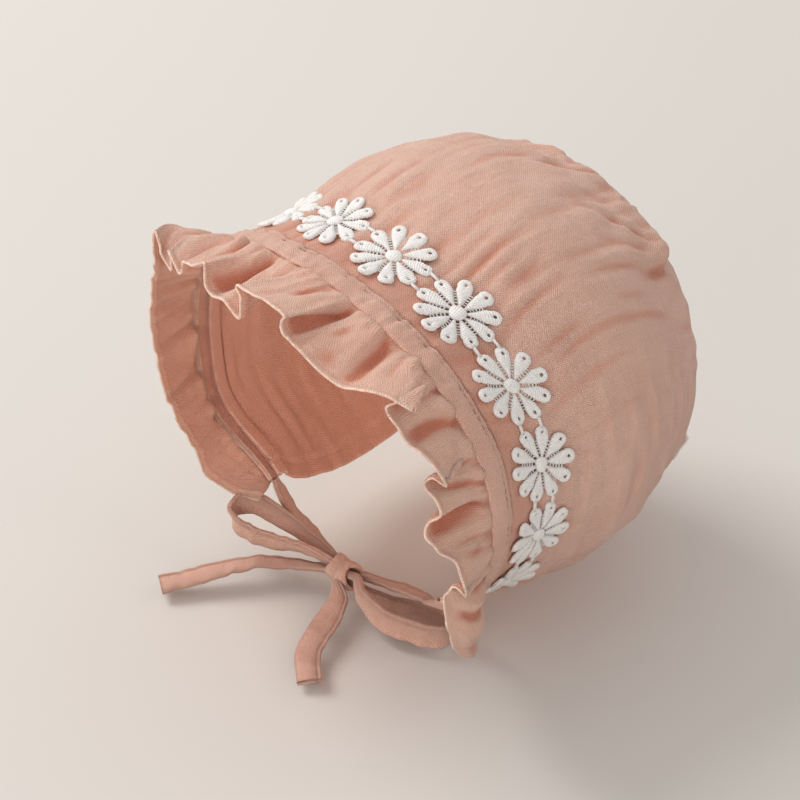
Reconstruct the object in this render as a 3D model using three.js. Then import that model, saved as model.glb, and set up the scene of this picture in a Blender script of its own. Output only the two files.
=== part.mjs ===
// Baby bonnet of pink double gauze with a ruffle, a daisy lace trim and a tied bow.
// Millimetres. The face looks along -Y, the wearer's left is +X and up is +Z.
// Shapes are laid out round the centre of the head, and the whole bonnet is then lowered so that
// the origin is the inside top of the crown, where it sits on the head.
import * as THREE from 'three';

// Driving dimensions
const CLOTH = 1.5;
const RUFFLE_CLOTH = 1.2;
const SEAM_GAP = 0.4;
const BAND_PROUD = 0.3;
const CROWN_TOP_RADIUS = 70.5;
const BACK_RADIUS = 70.2;
const LACE_THICKNESS = 1.1;
const LACE_CLEARANCE = 0.7;
const DAISY_COUNT = 12;
const DAISY_PITCH = 25.6;
const DAISY_RADIUS = 12.2;
const PETAL_COUNT = 10;
const PETAL = {
  root: 0.42,
  shoulder: 0.88,
  fullness: 0.66,
  tipSpread: 0.06,
  eyelet: 0.8,
  eyeletHalf: 0.07,
  eyeletSpread: 0.22,
};
const TAPE_WIDTH = 8;
const TAPE_THICKNESS = 1.5;
const LABEL = { at: 116, width: 12, depth: 5, thickness: 1, lean: 40 };

// Sections from the face to the back. Reach is measured back from the head's centre, radius out from
// the axis of the face, each given at the top and at the side. Wrap is how far the section runs down
// each side, and pull is how much of the tie's tug the section takes at its lower corner.
const SECTIONS = [
  {
    name: 'ruffle_seam', wrap: 138, pull: 1,
    reachTop: -65, reachSide: -54, radiusTop: 61.5, radiusSide: 69.5,
  },
  {
    name: 'stitch_row', wrap: 138, pull: 0.8,
    reachTop: -57.5, reachSide: -46.5, radiusTop: 61.5, radiusSide: 68.6,
  },
  {
    name: 'lace_line', wrap: 141, pull: 0.1,
    reachTop: -42, reachSide: -32, radiusTop: 62, radiusSide: 66.6,
  },
  {
    name: 'fore_crown', wrap: 143, pull: 0,
    reachTop: -20, reachSide: -17, radiusTop: 68.2, radiusSide: 68.8,
  },
  {
    name: 'mid_crown', wrap: 142, pull: 0,
    reachTop: 2, reachSide: 2, radiusTop: 70.5, radiusSide: 71,
  },
  {
    name: 'rear_crown', wrap: 140, pull: 0,
    reachTop: 20, reachSide: 20, radiusTop: 67, radiusSide: 68.2,
  },
  {
    name: 'gathers', wrap: 139, pull: 0,
    reachTop: 33, reachSide: 34, radiusTop: 61.2, radiusSide: 62,
  },
  {
    name: 'puff', wrap: 139, pull: 0,
    reachTop: 41, reachSide: 42, radiusTop: 59, radiusSide: 57.6,
  },
  {
    name: 'back_seam', wrap: 139, pull: 0,
    reachTop: 44, reachSide: 45, radiusTop: 55, radiusSide: 54.4,
  },
];
const CORNER_TUG = { from: 105, to: 140, back: 12, inward: 4 };

// Folds gathered into the back seam: degrees from the top, height of the fold
const GATHERS = [
  { at: -66, height: 1.2 },
  { at: -50, height: 2 },
  { at: -35, height: 1.4 },
  { at: -19, height: 2.2 },
  { at: -4, height: 1.6 },
  { at: 11, height: 2.2 },
  { at: 27, height: 1.6 },
  { at: 42, height: 2.8 },
  { at: 58, height: 1.4 },
];
const GATHER_HALF_WIDTH = 8;

// Folds of the ruffle from the right corner to the left one: degrees round the seam, then how far the
// free edge lies forward, outward and along from the seam.
const RUFFLE_FOLDS = [
  { seam: -138, forward: 5, outward: 6, along: 2 },
  { seam: -129, forward: 12, outward: 7, along: 2 },
  { seam: -120, forward: 15, outward: -5, along: 1 },
  { seam: -110, forward: 18, outward: -7, along: -3 },
  { seam: -100, forward: 20, outward: -14, along: -2 },
  { seam: -90, forward: 22, outward: -10, along: 0 },
  { seam: -80, forward: 24, outward: -12, along: 1 },
  { seam: -70, forward: 24, outward: -4, along: 2 },
  { seam: -60, forward: 24, outward: 1, along: 6 },
  { seam: -51, forward: 23, outward: 10, along: 12 },
  { seam: -43, forward: 26, outward: 0, along: 6 },
  { seam: -36, forward: 25, outward: 2, along: 8 },
  { seam: -29, forward: 26, outward: -3, along: 7 },
  { seam: -18, forward: 26, outward: 5, along: 4 },
  { seam: -9, forward: 24, outward: -11, along: 5 },
  { seam: 2, forward: 27, outward: 4, along: -2 },
  { seam: 12, forward: 27, outward: 4, along: 0 },
  { seam: 21, forward: 27, outward: 1, along: -4 },
  { seam: 28, forward: 26, outward: -4, along: 3 },
  { seam: 36, forward: 24, outward: 2, along: 9 },
  { seam: 44, forward: 21, outward: 11, along: 11 },
  { seam: 49, forward: 26, outward: 4, along: 0 },
  { seam: 55, forward: 26, outward: 4, along: 3 },
  { seam: 63, forward: 24, outward: 10, along: 7 },
  { seam: 69, forward: 27, outward: 1, along: -3 },
  { seam: 76, forward: 27, outward: 5, along: -1 },
  { seam: 82, forward: 27, outward: -4, along: 0 },
  { seam: 88, forward: 26, outward: 1, along: -4 },
  { seam: 96, forward: 26, outward: 9, along: -2 },
  { seam: 102, forward: 26, outward: 1, along: -6 },
  { seam: 112, forward: 22, outward: 7, along: -1 },
  { seam: 122, forward: 16, outward: 14, along: -2 },
  { seam: 131, forward: 7, outward: 18, along: 1 },
  { seam: 138, forward: 2, outward: 18, along: -2 },
];

// Tape routes: a point on the tape's middle, the tilt of its width from level, and its share of the
// full width
const TAPE_ROUTES = {
  tie_strap_left: [
    { x: 42.1, y: -44.9, z: -47, tilt: 40, share: 1 },
    { x: 33, y: -42, z: -55, tilt: 35, share: 1 },
    { x: 22, y: -41, z: -58.5, tilt: 20, share: 0.9 },
    { x: 11, y: -42, z: -60.5, tilt: 10, share: 0.6 },
    { x: 1.4, y: -44.4, z: -61.9, tilt: 10, share: 0.35 },
  ],
  tie_strap_right: [
    { x: -41.9, y: -45.1, z: -46.6, tilt: -40, share: 1 },
    { x: -35, y: -44, z: -56, tilt: -35, share: 1 },
    { x: -27, y: -43.5, z: -60, tilt: -20, share: 0.8 },
    { x: -19, y: -44, z: -62, tilt: -10, share: 0.6 },
    { x: -11.8, y: -44.8, z: -62, tilt: -10, share: 0.35 },
  ],
  bow_loop_left: [
    { x: 1.8, y: -48.1, z: -60.4, tilt: 60, share: 0.35 },
    { x: 10, y: -52.5, z: -61, tilt: 70, share: 0.7 },
    { x: 21, y: -53, z: -63, tilt: 75, share: 1 },
    { x: 32, y: -48, z: -64, tilt: 80, share: 1 },
    { x: 37, y: -42, z: -65.5, tilt: 85, share: 1 },
    { x: 33, y: -37, z: -66.5, tilt: 90, share: 1 },
    { x: 23, y: -38, z: -67, tilt: 100, share: 0.9 },
    { x: 12, y: -43, z: -67, tilt: 110, share: 0.7 },
    { x: 1.4, y: -46.5, z: -65, tilt: 120, share: 0.35 },
  ],
  bow_loop_right: [
    { x: -11, y: -48.6, z: -60.2, tilt: 60, share: 0.35 },
    { x: -20, y: -53, z: -58, tilt: 70, share: 0.7 },
    { x: -30, y: -58, z: -58.5, tilt: 80, share: 1 },
    { x: -39, y: -61.5, z: -57, tilt: 85, share: 1 },
    { x: -44.5, y: -60.5, z: -53.5, tilt: 80, share: 1 },
    { x: -43, y: -55, z: -52, tilt: 70, share: 1 },
    { x: -33, y: -50.5, z: -54.5, tilt: 60, share: 0.8 },
    { x: -22, y: -48, z: -57.5, tilt: 50, share: 0.6 },
    { x: -11.5, y: -46.5, z: -60, tilt: 40, share: 0.3 },
  ],
  tie_end_left: [
    { x: -3.1, y: -51.7, z: -63.1, tilt: 60, share: 0.4 },
    { x: 2, y: -56, z: -64.5, tilt: 65, share: 0.8 },
    { x: 6, y: -63, z: -65.5, tilt: 65, share: 1 },
    { x: 10, y: -71, z: -66, tilt: 60, share: 1 },
    { x: 14, y: -78, z: -66.5, tilt: 50, share: 1 },
    { x: 23, y: -85, z: -68, tilt: 20, share: 1 },
  ],
  tie_end_right: [
    { x: -10.5, y: -49.9, z: -63, tilt: 50, share: 0.4 },
    { x: -19, y: -55, z: -63.5, tilt: 40, share: 0.8 },
    { x: -27, y: -62, z: -63.5, tilt: 35, share: 1 },
    { x: -33, y: -71, z: -64.5, tilt: 30, share: 1 },
    { x: -38, y: -80, z: -66, tilt: 25, share: 1 },
    { x: -44, y: -91, z: -68, tilt: 10, share: 1 },
  ],
};
const KNOT = { x: -5, y: -47, z: -62.5, length: 14, width: 8, height: 9 };

// Fineness of the meshes, and how close two lace points are when they are the same one
const CROWN_COLUMNS = 54;
const CROWN_ROWS = 13;
const BAND_COLUMNS = 44;
const RUFFLE_STEPS_PER_FOLD = 3;
const RUFFLE_ROWS = 4;
const PANEL_STEPS = 32;
const NAPE_STEPS = 8;
const PANEL_RINGS = 4;
const LACE_RULER_STEPS = 400;
const TAPE_STEPS_PER_POINT = 3;
const KNOT_STEPS_AROUND = 12;
const KNOT_STEPS_ALONG = 8;
const SAME_POINT = 0.001;

const muslin = new THREE.MeshStandardMaterial({ color: 0xe2b8a5, roughness: 0.9, metalness: 0 });
const laceThread = new THREE.MeshStandardMaterial({ color: 0xf0ece8, roughness: 0.8, metalness: 0 });
const labelTape = new THREE.MeshStandardMaterial({ color: 0xe9dfd0, roughness: 0.8, metalness: 0 });

const radians = THREE.MathUtils.degToRad;
const FORWARD = new THREE.Vector3(0, -1, 0);
const UP = new THREE.Vector3(0, 0, 1);

// Directions out from the face axis and along the section at an angle from the top
function outward(angle) {
  return new THREE.Vector3(Math.sin(angle), 0, Math.cos(angle));
}

function along(angle) {
  return new THREE.Vector3(Math.cos(angle), 0, -Math.sin(angle));
}

// A point on one section, at an angle in degrees from the top
function sectionPoint(section, degrees) {
  const angle = radians(degrees);
  const level = (1 + Math.cos(2 * angle)) / 2;
  const corner = THREE.MathUtils.smoothstep(Math.abs(degrees), CORNER_TUG.from, CORNER_TUG.to);
  const tug = section.pull * corner;
  const reach = THREE.MathUtils.lerp(section.reachSide, section.reachTop, level) + CORNER_TUG.back * tug;
  const radius = THREE.MathUtils.lerp(section.radiusSide, section.radiusTop, level) - CORNER_TUG.inward * tug;
  return outward(angle).multiplyScalar(radius).setY(reach);
}

// The cloth's profile from the ruffle seam to the back seam, at a share of the wrap from -1 to 1
function profile(share) {
  const points = SECTIONS.map((section) => sectionPoint(section, share * section.wrap));
  return new THREE.CatmullRomCurve3(points, false, 'centripetal');
}

function sectionPlace(name) {
  return SECTIONS.findIndex((section) => section.name === name) / (SECTIONS.length - 1);
}

// A wall made from a surface: its points are the outer face, and the inner face lies one thickness in
function wall(points, triangles, thickness) {
  const surface = new THREE.BufferGeometry().setFromPoints(points);
  surface.setIndex(triangles);
  surface.computeVertexNormals();
  const normals = surface.getAttribute('normal');
  const normal = new THREE.Vector3();
  const inner = points.map((point, i) => {
    normal.fromBufferAttribute(normals, i);
    return point.clone().addScaledVector(normal, -thickness);
  });
  const count = points.length;
  const faces = [...triangles];
  const edges = new Map();
  for (let i = 0; i < triangles.length; i += 3) {
    const [a, b, c] = triangles.slice(i, i + 3);
    faces.push(a + count, c + count, b + count);
    for (const [from, to] of [[a, b], [b, c], [c, a]]) edges.set(`${from} ${to}`, [from, to]);
  }
  for (const [from, to] of edges.values()) {
    if (edges.has(`${to} ${from}`)) continue;
    faces.push(to, from, from + count, to, from + count, to + count);
  }
  const solid = new THREE.BufferGeometry().setFromPoints([...points, ...inner]);
  solid.setIndex(faces);
  return solid;
}

// A wall from rows of points that run from face to back, each row from the right side to the left
function gridWall(rows, thickness) {
  const columns = rows[0].length;
  const triangles = [];
  for (let i = 0; i + 1 < rows.length; i += 1) {
    for (let j = 0; j + 1 < columns; j += 1) {
      const a = i * columns + j;
      const c = a + columns;
      triangles.push(a, a + 1, c, a + 1, c + 1, c);
    }
  }
  return wall(rows.flat(), triangles, thickness);
}

function steps(from, to, count) {
  return Array.from({ length: count + 1 }, (unused, i) => THREE.MathUtils.lerp(from, to, i / count));
}

// Height of the gathers at an angle from the top: they rise behind the middle of the crown and
// are drawn flat in the back seam.
function gatherHeight(degrees, place) {
  const rise = THREE.MathUtils.smoothstep(place, sectionPlace('mid_crown'), sectionPlace('gathers'));
  const fall = 1 - THREE.MathUtils.smoothstep(place, sectionPlace('puff'), 1);
  const fold = GATHERS.reduce((sum, gather) => {
    const share = Math.min(Math.abs(degrees - gather.at) / GATHER_HALF_WIDTH, 1);
    return sum + gather.height * (1 + Math.cos(Math.PI * share)) / 2;
  }, 0);
  return rise * fall * fold;
}

function crown() {
  const shares = steps(-1, 1, CROWN_COLUMNS);
  const profiles = shares.map(profile);
  const length = profiles[0].getLength();
  const start = sectionPlace('stitch_row') + SEAM_GAP / length;
  const rows = steps(start, 1, CROWN_ROWS).map((place) => shares.map((share, j) => {
    const point = profiles[j].getPoint(place);
    const degrees = THREE.MathUtils.radToDeg(Math.atan2(point.x, point.z));
    return point.setLength(point.length() + gatherHeight(degrees, place));
  }));
  return gridWall(rows, CLOTH);
}

function frontBand() {
  const shares = steps(-1, 1, BAND_COLUMNS);
  const places = steps(0, sectionPlace('stitch_row'), 1);
  const rows = places.map((place) => shares.map((share) => {
    const point = profile(share).getPoint(place);
    const proud = outward(Math.atan2(point.x, point.z)).multiplyScalar(BAND_PROUD);
    return point.add(proud);
  }));
  return gridWall(rows, CLOTH);
}

// The ruffle runs from its free edge back to the seam
function ruffle() {
  const edge = new THREE.CatmullRomCurve3(
    RUFFLE_FOLDS.map((fold) => new THREE.Vector3(fold.forward, fold.outward, fold.along)),
    false,
    'centripetal',
  );
  const last = RUFFLE_FOLDS.length - 1;
  const columns = steps(0, last, last * RUFFLE_STEPS_PER_FOLD);
  const rows = steps(1, 0, RUFFLE_ROWS).map((share) => columns.map((column) => {
    const before = Math.min(Math.floor(column), last - 1);
    const degrees = THREE.MathUtils.lerp(
      RUFFLE_FOLDS[before].seam,
      RUFFLE_FOLDS[before + 1].seam,
      column - before,
    );
    const angle = radians(degrees);
    const reach = edge.getPoint(column / last);
    const flare = Math.abs(reach.y) / reach.length();
    return sectionPoint(SECTIONS[0], degrees)
      .addScaledVector(FORWARD, SEAM_GAP + RUFFLE_CLOTH * flare + share * reach.x)
      .addScaledVector(outward(angle), share * reach.y)
      .addScaledVector(along(angle), share * reach.z);
  }));
  return gridWall(rows, RUFFLE_CLOTH);
}

// The back panel: a horseshoe of cloth on the round of the head, closed below by a straight nape edge
function backPanel() {
  const seam = SECTIONS.at(-1);
  const rim = steps(-seam.wrap, seam.wrap, PANEL_STEPS).map((degrees) => {
    const point = sectionPoint(seam, degrees);
    return new THREE.Vector2(point.x, point.z).multiplyScalar(1 - SEAM_GAP / point.length());
  });
  const nape = steps(0, 1, NAPE_STEPS).slice(1, -1)
    .map((share) => rim.at(-1).clone().lerp(rim[0], share));
  const loop = [...rim, ...nape];
  const points = [new THREE.Vector3(0, BACK_RADIUS, 0)];
  for (const share of steps(0, 1, PANEL_RINGS).slice(1)) {
    for (const spot of loop) {
      const x = spot.x * share;
      const z = spot.y * share;
      points.push(new THREE.Vector3(x, Math.sqrt(BACK_RADIUS ** 2 - x ** 2 - z ** 2), z));
    }
  }
  const count = loop.length;
  const triangles = [];
  for (let j = 0; j < count; j += 1) {
    const next = (j + 1) % count;
    triangles.push(0, 1 + j, 1 + next);
    for (let ring = 0; ring + 1 < PANEL_RINGS; ring += 1) {
      const a = 1 + ring * count + j;
      const b = 1 + ring * count + next;
      triangles.push(a, a + count, b, b, a + count, b + count);
    }
  }
  return wall(points, triangles, CLOTH);
}

// Flat patches of lace joined where they share points, with every triangle facing the same way
function joinPatches(patches) {
  const points = [];
  const triangles = [];
  const known = new Map();
  for (const patch of patches) {
    const numbers = patch.points.map((point) => {
      const key = `${Math.round(point.x / SAME_POINT)} ${Math.round(point.y / SAME_POINT)}`;
      if (!known.has(key)) {
        known.set(key, points.length);
        points.push(point);
      }
      return known.get(key);
    });
    for (const [a, b, c] of patch.triangles) {
      const turn = THREE.ShapeUtils.area([patch.points[a], patch.points[b], patch.points[c]]);
      triangles.push(numbers[a], ...(turn > 0 ? [numbers[b], numbers[c]] : [numbers[c], numbers[b]]));
    }
  }
  return { points, triangles };
}

// A point of a daisy, at a share of its radius and an angle from the chain's line
function daisySpot(centre, share, angle) {
  const radius = share * DAISY_RADIUS;
  return new THREE.Vector2(centre + radius * Math.cos(angle), radius * Math.sin(angle));
}

// The two ends of a petal's tip
function petalTip(centre, angle) {
  return [-PETAL.tipSpread, PETAL.tipSpread].map((turn) => daisySpot(centre, 1, angle + turn));
}

// One daisy: petals with an eyelet near each tip, round a hub
function daisyPatches(centre) {
  const spread = Math.PI / PETAL_COUNT;
  const patches = [];
  for (let k = 0; k < PETAL_COUNT; k += 1) {
    const angle = (2 * k + 1) * spread;
    const petal = [
      daisySpot(centre, PETAL.root, angle - spread),
      daisySpot(centre, PETAL.shoulder, angle - spread * PETAL.fullness),
      ...petalTip(centre, angle),
      daisySpot(centre, PETAL.shoulder, angle + spread * PETAL.fullness),
      daisySpot(centre, PETAL.root, angle + spread),
    ];
    const eyelet = [
      daisySpot(centre, PETAL.eyelet - PETAL.eyeletHalf, angle),
      daisySpot(centre, PETAL.eyelet, angle + spread * PETAL.eyeletSpread),
      daisySpot(centre, PETAL.eyelet + PETAL.eyeletHalf, angle),
      daisySpot(centre, PETAL.eyelet, angle - spread * PETAL.eyeletSpread),
    ];
    patches.push({
      points: [...petal, ...eyelet],
      triangles: THREE.ShapeUtils.triangulateShape(petal, [eyelet]),
    });
    const hub = [daisySpot(centre, 0, 0), petal.at(0), petal.at(-1)];
    patches.push({ points: hub, triangles: [[0, 1, 2]] });
  }
  return patches;
}

// Two short bars from the tips of a daisy to those of the next
function barPatches(centre) {
  const spread = Math.PI / PETAL_COUNT;
  return [-spread, spread].map((angle) => {
    const near = petalTip(centre, angle);
    const far = petalTip(centre + DAISY_PITCH, Math.PI - angle);
    return { points: [...near, ...far], triangles: [[0, 1, 2], [0, 2, 3]] };
  });
}

// The share of the wrap at each length along the lace line, measured from the top
function laceRuler() {
  const line = SECTIONS.find((section) => section.name === 'lace_line');
  const shares = steps(-1, 1, LACE_RULER_STEPS);
  const lengths = [0];
  for (let i = 1; i < shares.length; i += 1) {
    const here = sectionPoint(line, shares[i] * line.wrap);
    const before = sectionPoint(line, shares[i - 1] * line.wrap);
    lengths.push(lengths[i - 1] + here.distanceTo(before));
  }
  const middle = lengths[(lengths.length - 1) / 2];
  return (length) => {
    const wanted = THREE.MathUtils.clamp(length + middle, lengths[0], lengths.at(-1));
    const i = Math.max(1, lengths.findIndex((value) => value >= wanted));
    const part = (wanted - lengths[i - 1]) / (lengths[i] - lengths[i - 1]);
    return THREE.MathUtils.lerp(shares[i - 1], shares[i], part);
  };
}

// A place on the crown: a share of the wrap along the lace line, width across it towards the back,
// and height above the cloth
function crownSpot(share, width, height) {
  const curve = profile(share);
  const step = 1 / (SECTIONS.length - 1);
  const linePlace = sectionPlace('lace_line');
  const line = curve.getPoint(linePlace);
  const neighbour = width < 0 ? linePlace - step : linePlace + step;
  const spacing = line.distanceTo(curve.getPoint(neighbour));
  const place = linePlace + width / spacing * step;
  const up = along(Math.atan2(line.x, line.z)).cross(curve.getTangent(place)).normalize();
  return curve.getPoint(place).addScaledVector(up, height);
}

// The lace: a chain of daisies joined by their bars, laid along the crown
function daisyLace() {
  const shareAt = laceRuler();
  const first = -(DAISY_COUNT - 1) / 2 * DAISY_PITCH;
  const centres = Array.from({ length: DAISY_COUNT }, (unused, i) => first + i * DAISY_PITCH);
  const chain = joinPatches([
    ...centres.flatMap(daisyPatches),
    ...centres.slice(0, -1).flatMap(barPatches),
  ]);
  const height = LACE_CLEARANCE + LACE_THICKNESS;
  const points = chain.points.map(({ x, y }) => crownSpot(shareAt(x), y, height));
  return wall(points, chain.triangles, LACE_THICKNESS);
}

// The tab sewn into the back seam, leaning back from it
function labelTab() {
  const seam = sectionPoint(SECTIONS.at(-1), LABEL.at);
  const out = seam.clone().normalize();
  const side = along(radians(LABEL.at));
  const stand = out.clone().applyAxisAngle(side, radians(LABEL.lean));
  const geometry = new THREE.BoxGeometry(LABEL.width, LABEL.thickness, LABEL.depth);
  const face = stand.clone().cross(side);
  const frame = new THREE.Matrix4().makeBasis(side, face, stand);
  seam.addScaledVector(stand, LABEL.depth / 2).addScaledVector(out, SEAM_GAP + LABEL.thickness / 4);
  frame.setPosition(seam);
  return geometry.applyMatrix4(frame);
}

// A flat tape along a route, with its width turned by the tilt at each point
function tape(route) {
  const path = new THREE.CatmullRomCurve3(
    route.map(({ x, y, z }) => new THREE.Vector3(x, y, z)),
    false,
    'centripetal',
  );
  const count = (route.length - 1) * TAPE_STEPS_PER_POINT;
  const points = [];
  for (let i = 0; i <= count; i += 1) {
    const place = i / TAPE_STEPS_PER_POINT;
    const before = Math.min(Math.floor(place), route.length - 2);
    const [here, next] = [route[before], route[before + 1]];
    const mix = (name) => THREE.MathUtils.lerp(here[name], next[name], place - before);
    const middle = path.getPoint(i / count);
    const tangent = path.getTangent(i / count);
    const level = tangent.clone().cross(UP).normalize();
    const width = level.applyAxisAngle(tangent, radians(mix('tilt')));
    const face = width.clone().cross(tangent);
    const half = TAPE_WIDTH / 2 * mix('share');
    for (const [side, front] of [[-1, -1], [1, -1], [1, 1], [-1, 1]]) {
      points.push(middle.clone()
        .addScaledVector(width, side * half)
        .addScaledVector(face, front * TAPE_THICKNESS / 2));
    }
  }
  const faces = [0, 1, 2, 0, 2, 3];
  for (let i = 0; i < count; i += 1) {
    for (let k = 0; k < 4; k += 1) {
      const a = 4 * i + k;
      const b = 4 * i + (k + 1) % 4;
      faces.push(a, a + 4, b, b, a + 4, b + 4);
    }
  }
  const end = 4 * count;
  faces.push(end, end + 2, end + 1, end, end + 3, end + 2);
  const geometry = new THREE.BufferGeometry().setFromPoints(points);
  geometry.setIndex(faces);
  return geometry;
}

function piece(name, geometry, material) {
  const mesh = new THREE.Mesh(geometry, material);
  mesh.name = name;
  return mesh;
}

const bonnet = new THREE.Group();
bonnet.position.z = CLOTH - CROWN_TOP_RADIUS;
bonnet.add(
  piece('crown', crown(), muslin),
  piece('back_panel', backPanel(), muslin),
  piece('front_band', frontBand(), muslin),
  piece('ruffle', ruffle(), muslin),
  piece('daisy_lace', daisyLace(), laceThread),
  piece('label_tab', labelTab(), labelTape),
);
for (const [name, route] of Object.entries(TAPE_ROUTES)) bonnet.add(piece(name, tape(route), muslin));

const knot = piece('bow_knot', new THREE.SphereGeometry(0.5, KNOT_STEPS_AROUND, KNOT_STEPS_ALONG), muslin);
knot.scale.set(KNOT.length, KNOT.width, KNOT.height);
knot.position.set(KNOT.x, KNOT.y, KNOT.z);
bonnet.add(knot);

const model = new THREE.Group();
model.add(bonnet);

export default model;
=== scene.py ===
# Looks of a pink double-gauze baby bonnet with a ruffle, a daisy lace trim and a tied bow.
# Shapes are worked out in millimetres round the centre of the head, then moved into the part's frame.
import math

import bpy
import numpy as np
from mathutils import Matrix


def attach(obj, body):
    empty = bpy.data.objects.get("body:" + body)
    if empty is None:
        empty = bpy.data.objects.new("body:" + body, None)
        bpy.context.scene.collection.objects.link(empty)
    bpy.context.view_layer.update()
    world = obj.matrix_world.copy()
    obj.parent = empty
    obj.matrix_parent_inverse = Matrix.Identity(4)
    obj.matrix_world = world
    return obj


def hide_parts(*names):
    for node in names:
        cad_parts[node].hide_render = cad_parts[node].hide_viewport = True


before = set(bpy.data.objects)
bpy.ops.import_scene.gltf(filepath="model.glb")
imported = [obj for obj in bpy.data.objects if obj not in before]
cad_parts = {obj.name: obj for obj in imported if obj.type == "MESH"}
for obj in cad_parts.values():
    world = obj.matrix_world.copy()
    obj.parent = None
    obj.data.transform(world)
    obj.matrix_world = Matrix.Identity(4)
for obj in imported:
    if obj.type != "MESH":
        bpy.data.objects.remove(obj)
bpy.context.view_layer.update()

MM = 0.001
HEAD_CENTRE = np.array([0.0, 0.0, -69.0])
FLOOR_HEIGHT = -71.6
UP = np.array([0.0, 0.0, 1.0])
FACE = np.array([0.0, -1.0, 0.0])

# Camera: the head's centre falls on this pixel of an 800 by 800 picture
VIEW_AZIMUTH = 48.5
VIEW_ELEVATION = 35.0
VIEW_DISTANCE = 800.0
PICTURE_SIDE = 800
FOCAL_PIXELS = 2560.0
HEAD_PIXEL = (467.0, 361.0)
SENSOR_WIDTH = 36.0

# Sections from the face to the back. Reach is measured back from the head's centre and radius out from
# the axis of the face, each at the top and at the side.
SECTIONS = np.array([
    # wrap, pull, reach top, reach side, radius top, radius side
    (138, 1.0, -65.0, -54.0, 61.5, 69.5),  # ruffle seam
    (138, 0.8, -57.5, -46.5, 61.5, 68.6),  # stitch row
    (141, 0.1, -42.0, -32.0, 62.0, 66.6),  # lace line
    (143, 0.0, -20.0, -17.0, 68.2, 68.8),  # fore crown
    (142, 0.0, 2.0, 2.0, 70.5, 71.0),  # mid crown
    (140, 0.0, 20.0, 20.0, 67.0, 68.2),  # rear crown
    (139, 0.0, 33.0, 34.0, 61.2, 62.0),  # gathers
    (139, 0.0, 41.0, 42.0, 59.0, 57.6),  # puff
    (139, 0.0, 44.0, 45.0, 55.0, 54.4),  # back seam
])
WRAP, PULL, REACH_TOP, REACH_SIDE, RADIUS_TOP, RADIUS_SIDE = SECTIONS.T
CORNER_TUG = {"start": 105, "full": 140, "back": 12, "inward": 4}
SEAM, STITCH_ROW, LACE_LINE, FORE_CROWN, MID_CROWN, REAR_CROWN, GATHERED, PUFF, BACK_SEAM = range(9)

# Folds gathered into the back seam: degrees from the top, height
GATHERS = (
    (-66, 1.2), (-50, 2.0), (-35, 1.4), (-19, 2.2), (-4, 1.6), (11, 2.2), (27, 1.6), (42, 2.8), (58, 1.4),
)
GATHER_HALF_WIDTH = 8

# Folds of the ruffle: degrees round the seam, then how far the free edge lies forward, outward and along
RUFFLE_FOLDS = np.array([
    (-138, 6, 1, -4), (-132, 10, 5, -5), (-125, 13, 4, -5), (-117, 14, -4, -4), (-108, 16, -8, -2),
    (-98, 18, -7, -2), (-88, 20, -7, 2), (-78, 22, -6, 6), (-68, 23, -4, 11), (-59, 23, 1, 12),
    (-51, 22, 8.5, 13), (-46, 23, 3, 7), (-42, 24, -2, 6), (-38, 23, 4, 4), (-33, 24, -2, 3),
    (-29, 23, 2, 2), (-24, 23, 1.5, 1.5), (-18, 23, 4, 3), (-13, 24, -2, -1), (-8, 24, -4, 1.5),
    (-3, 23, -8, 2), (0, 24, 0, 1.5), (4, 24, 4, -4), (11, 24, 5, -2), (18, 24, 5.5, -1),
    (22, 25, 0.5, -3), (26, 25, -1, -2), (32, 23, -1.5, 5), (37, 21, 3, 5.5), (42, 18, 7.5, 6),
    (46, 16, 9.5, 7), (49, 18, 6.5, -1), (52, 21, 3, -4), (57, 20, 3.5, -0.5), (62, 18, 6, 2.5),
    (66, 17, 6.5, 4), (69, 19, 3.5, -2), (72, 22, 2, -5), (77, 21, 4.5, -5), (80, 22, 3.5, -4),
    (83, 24, 0.5, -2.5), (88, 23, 2.5, -4.5), (93, 19, 5, -6.5), (98, 18, 9, -3), (102, 20, 5.5, -10),
    (106, 21, 3.5, -12), (112, 20, 6.5, -9), (120, 16, 11, -4.5), (128, 9, 15, -1), (138, 2, 13.5, -10),
], float)

# Routes of the two ties, from the front corner through the bow to the free end.
# Each point: x, y, z, tilt of the tape's width from level, share of the full width.
# A point inside the knot has no tilt of its own.
INSIDE = math.nan
TIE_LEFT = np.array([
    (42.1, -44.9, -47.0, 40, 1.0), (33, -42, -55, 35, 1.0), (22, -41, -58.5, 20, 0.9),
    (11, -42, -60.5, 10, 0.6), (1.4, -44.4, -61.9, 10, 0.35),
    (-3, -46.2, -62.2, INSIDE, 0.3), (-3, -47.8, -61.2, INSIDE, 0.3),
    (1.8, -48.1, -60.4, 60, 0.35), (10, -52.5, -61, 70, 0.7), (21, -53, -63, 75, 1.0),
    (32, -48, -64, 80, 1.0), (37, -42, -65.5, 85, 1.0), (33, -37, -66.5, 90, 1.0),
    (23, -38, -67, 100, 0.9), (12, -43, -67, 110, 0.7), (1.4, -46.5, -65, 120, 0.35),
    (-3.5, -47.6, -64.2, INSIDE, 0.3), (-4.2, -49.6, -63.6, INSIDE, 0.3),
    (-3.1, -51.7, -63.1, 30, 0.4), (2, -56, -64.5, 5, 0.8), (6, -63, -65.5, -10, 1.0),
    (10, -71, -66, -12, 1.0), (14, -78, -66.5, -8, 1.0), (23, -85, -68, 5, 1.0),
])
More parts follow.
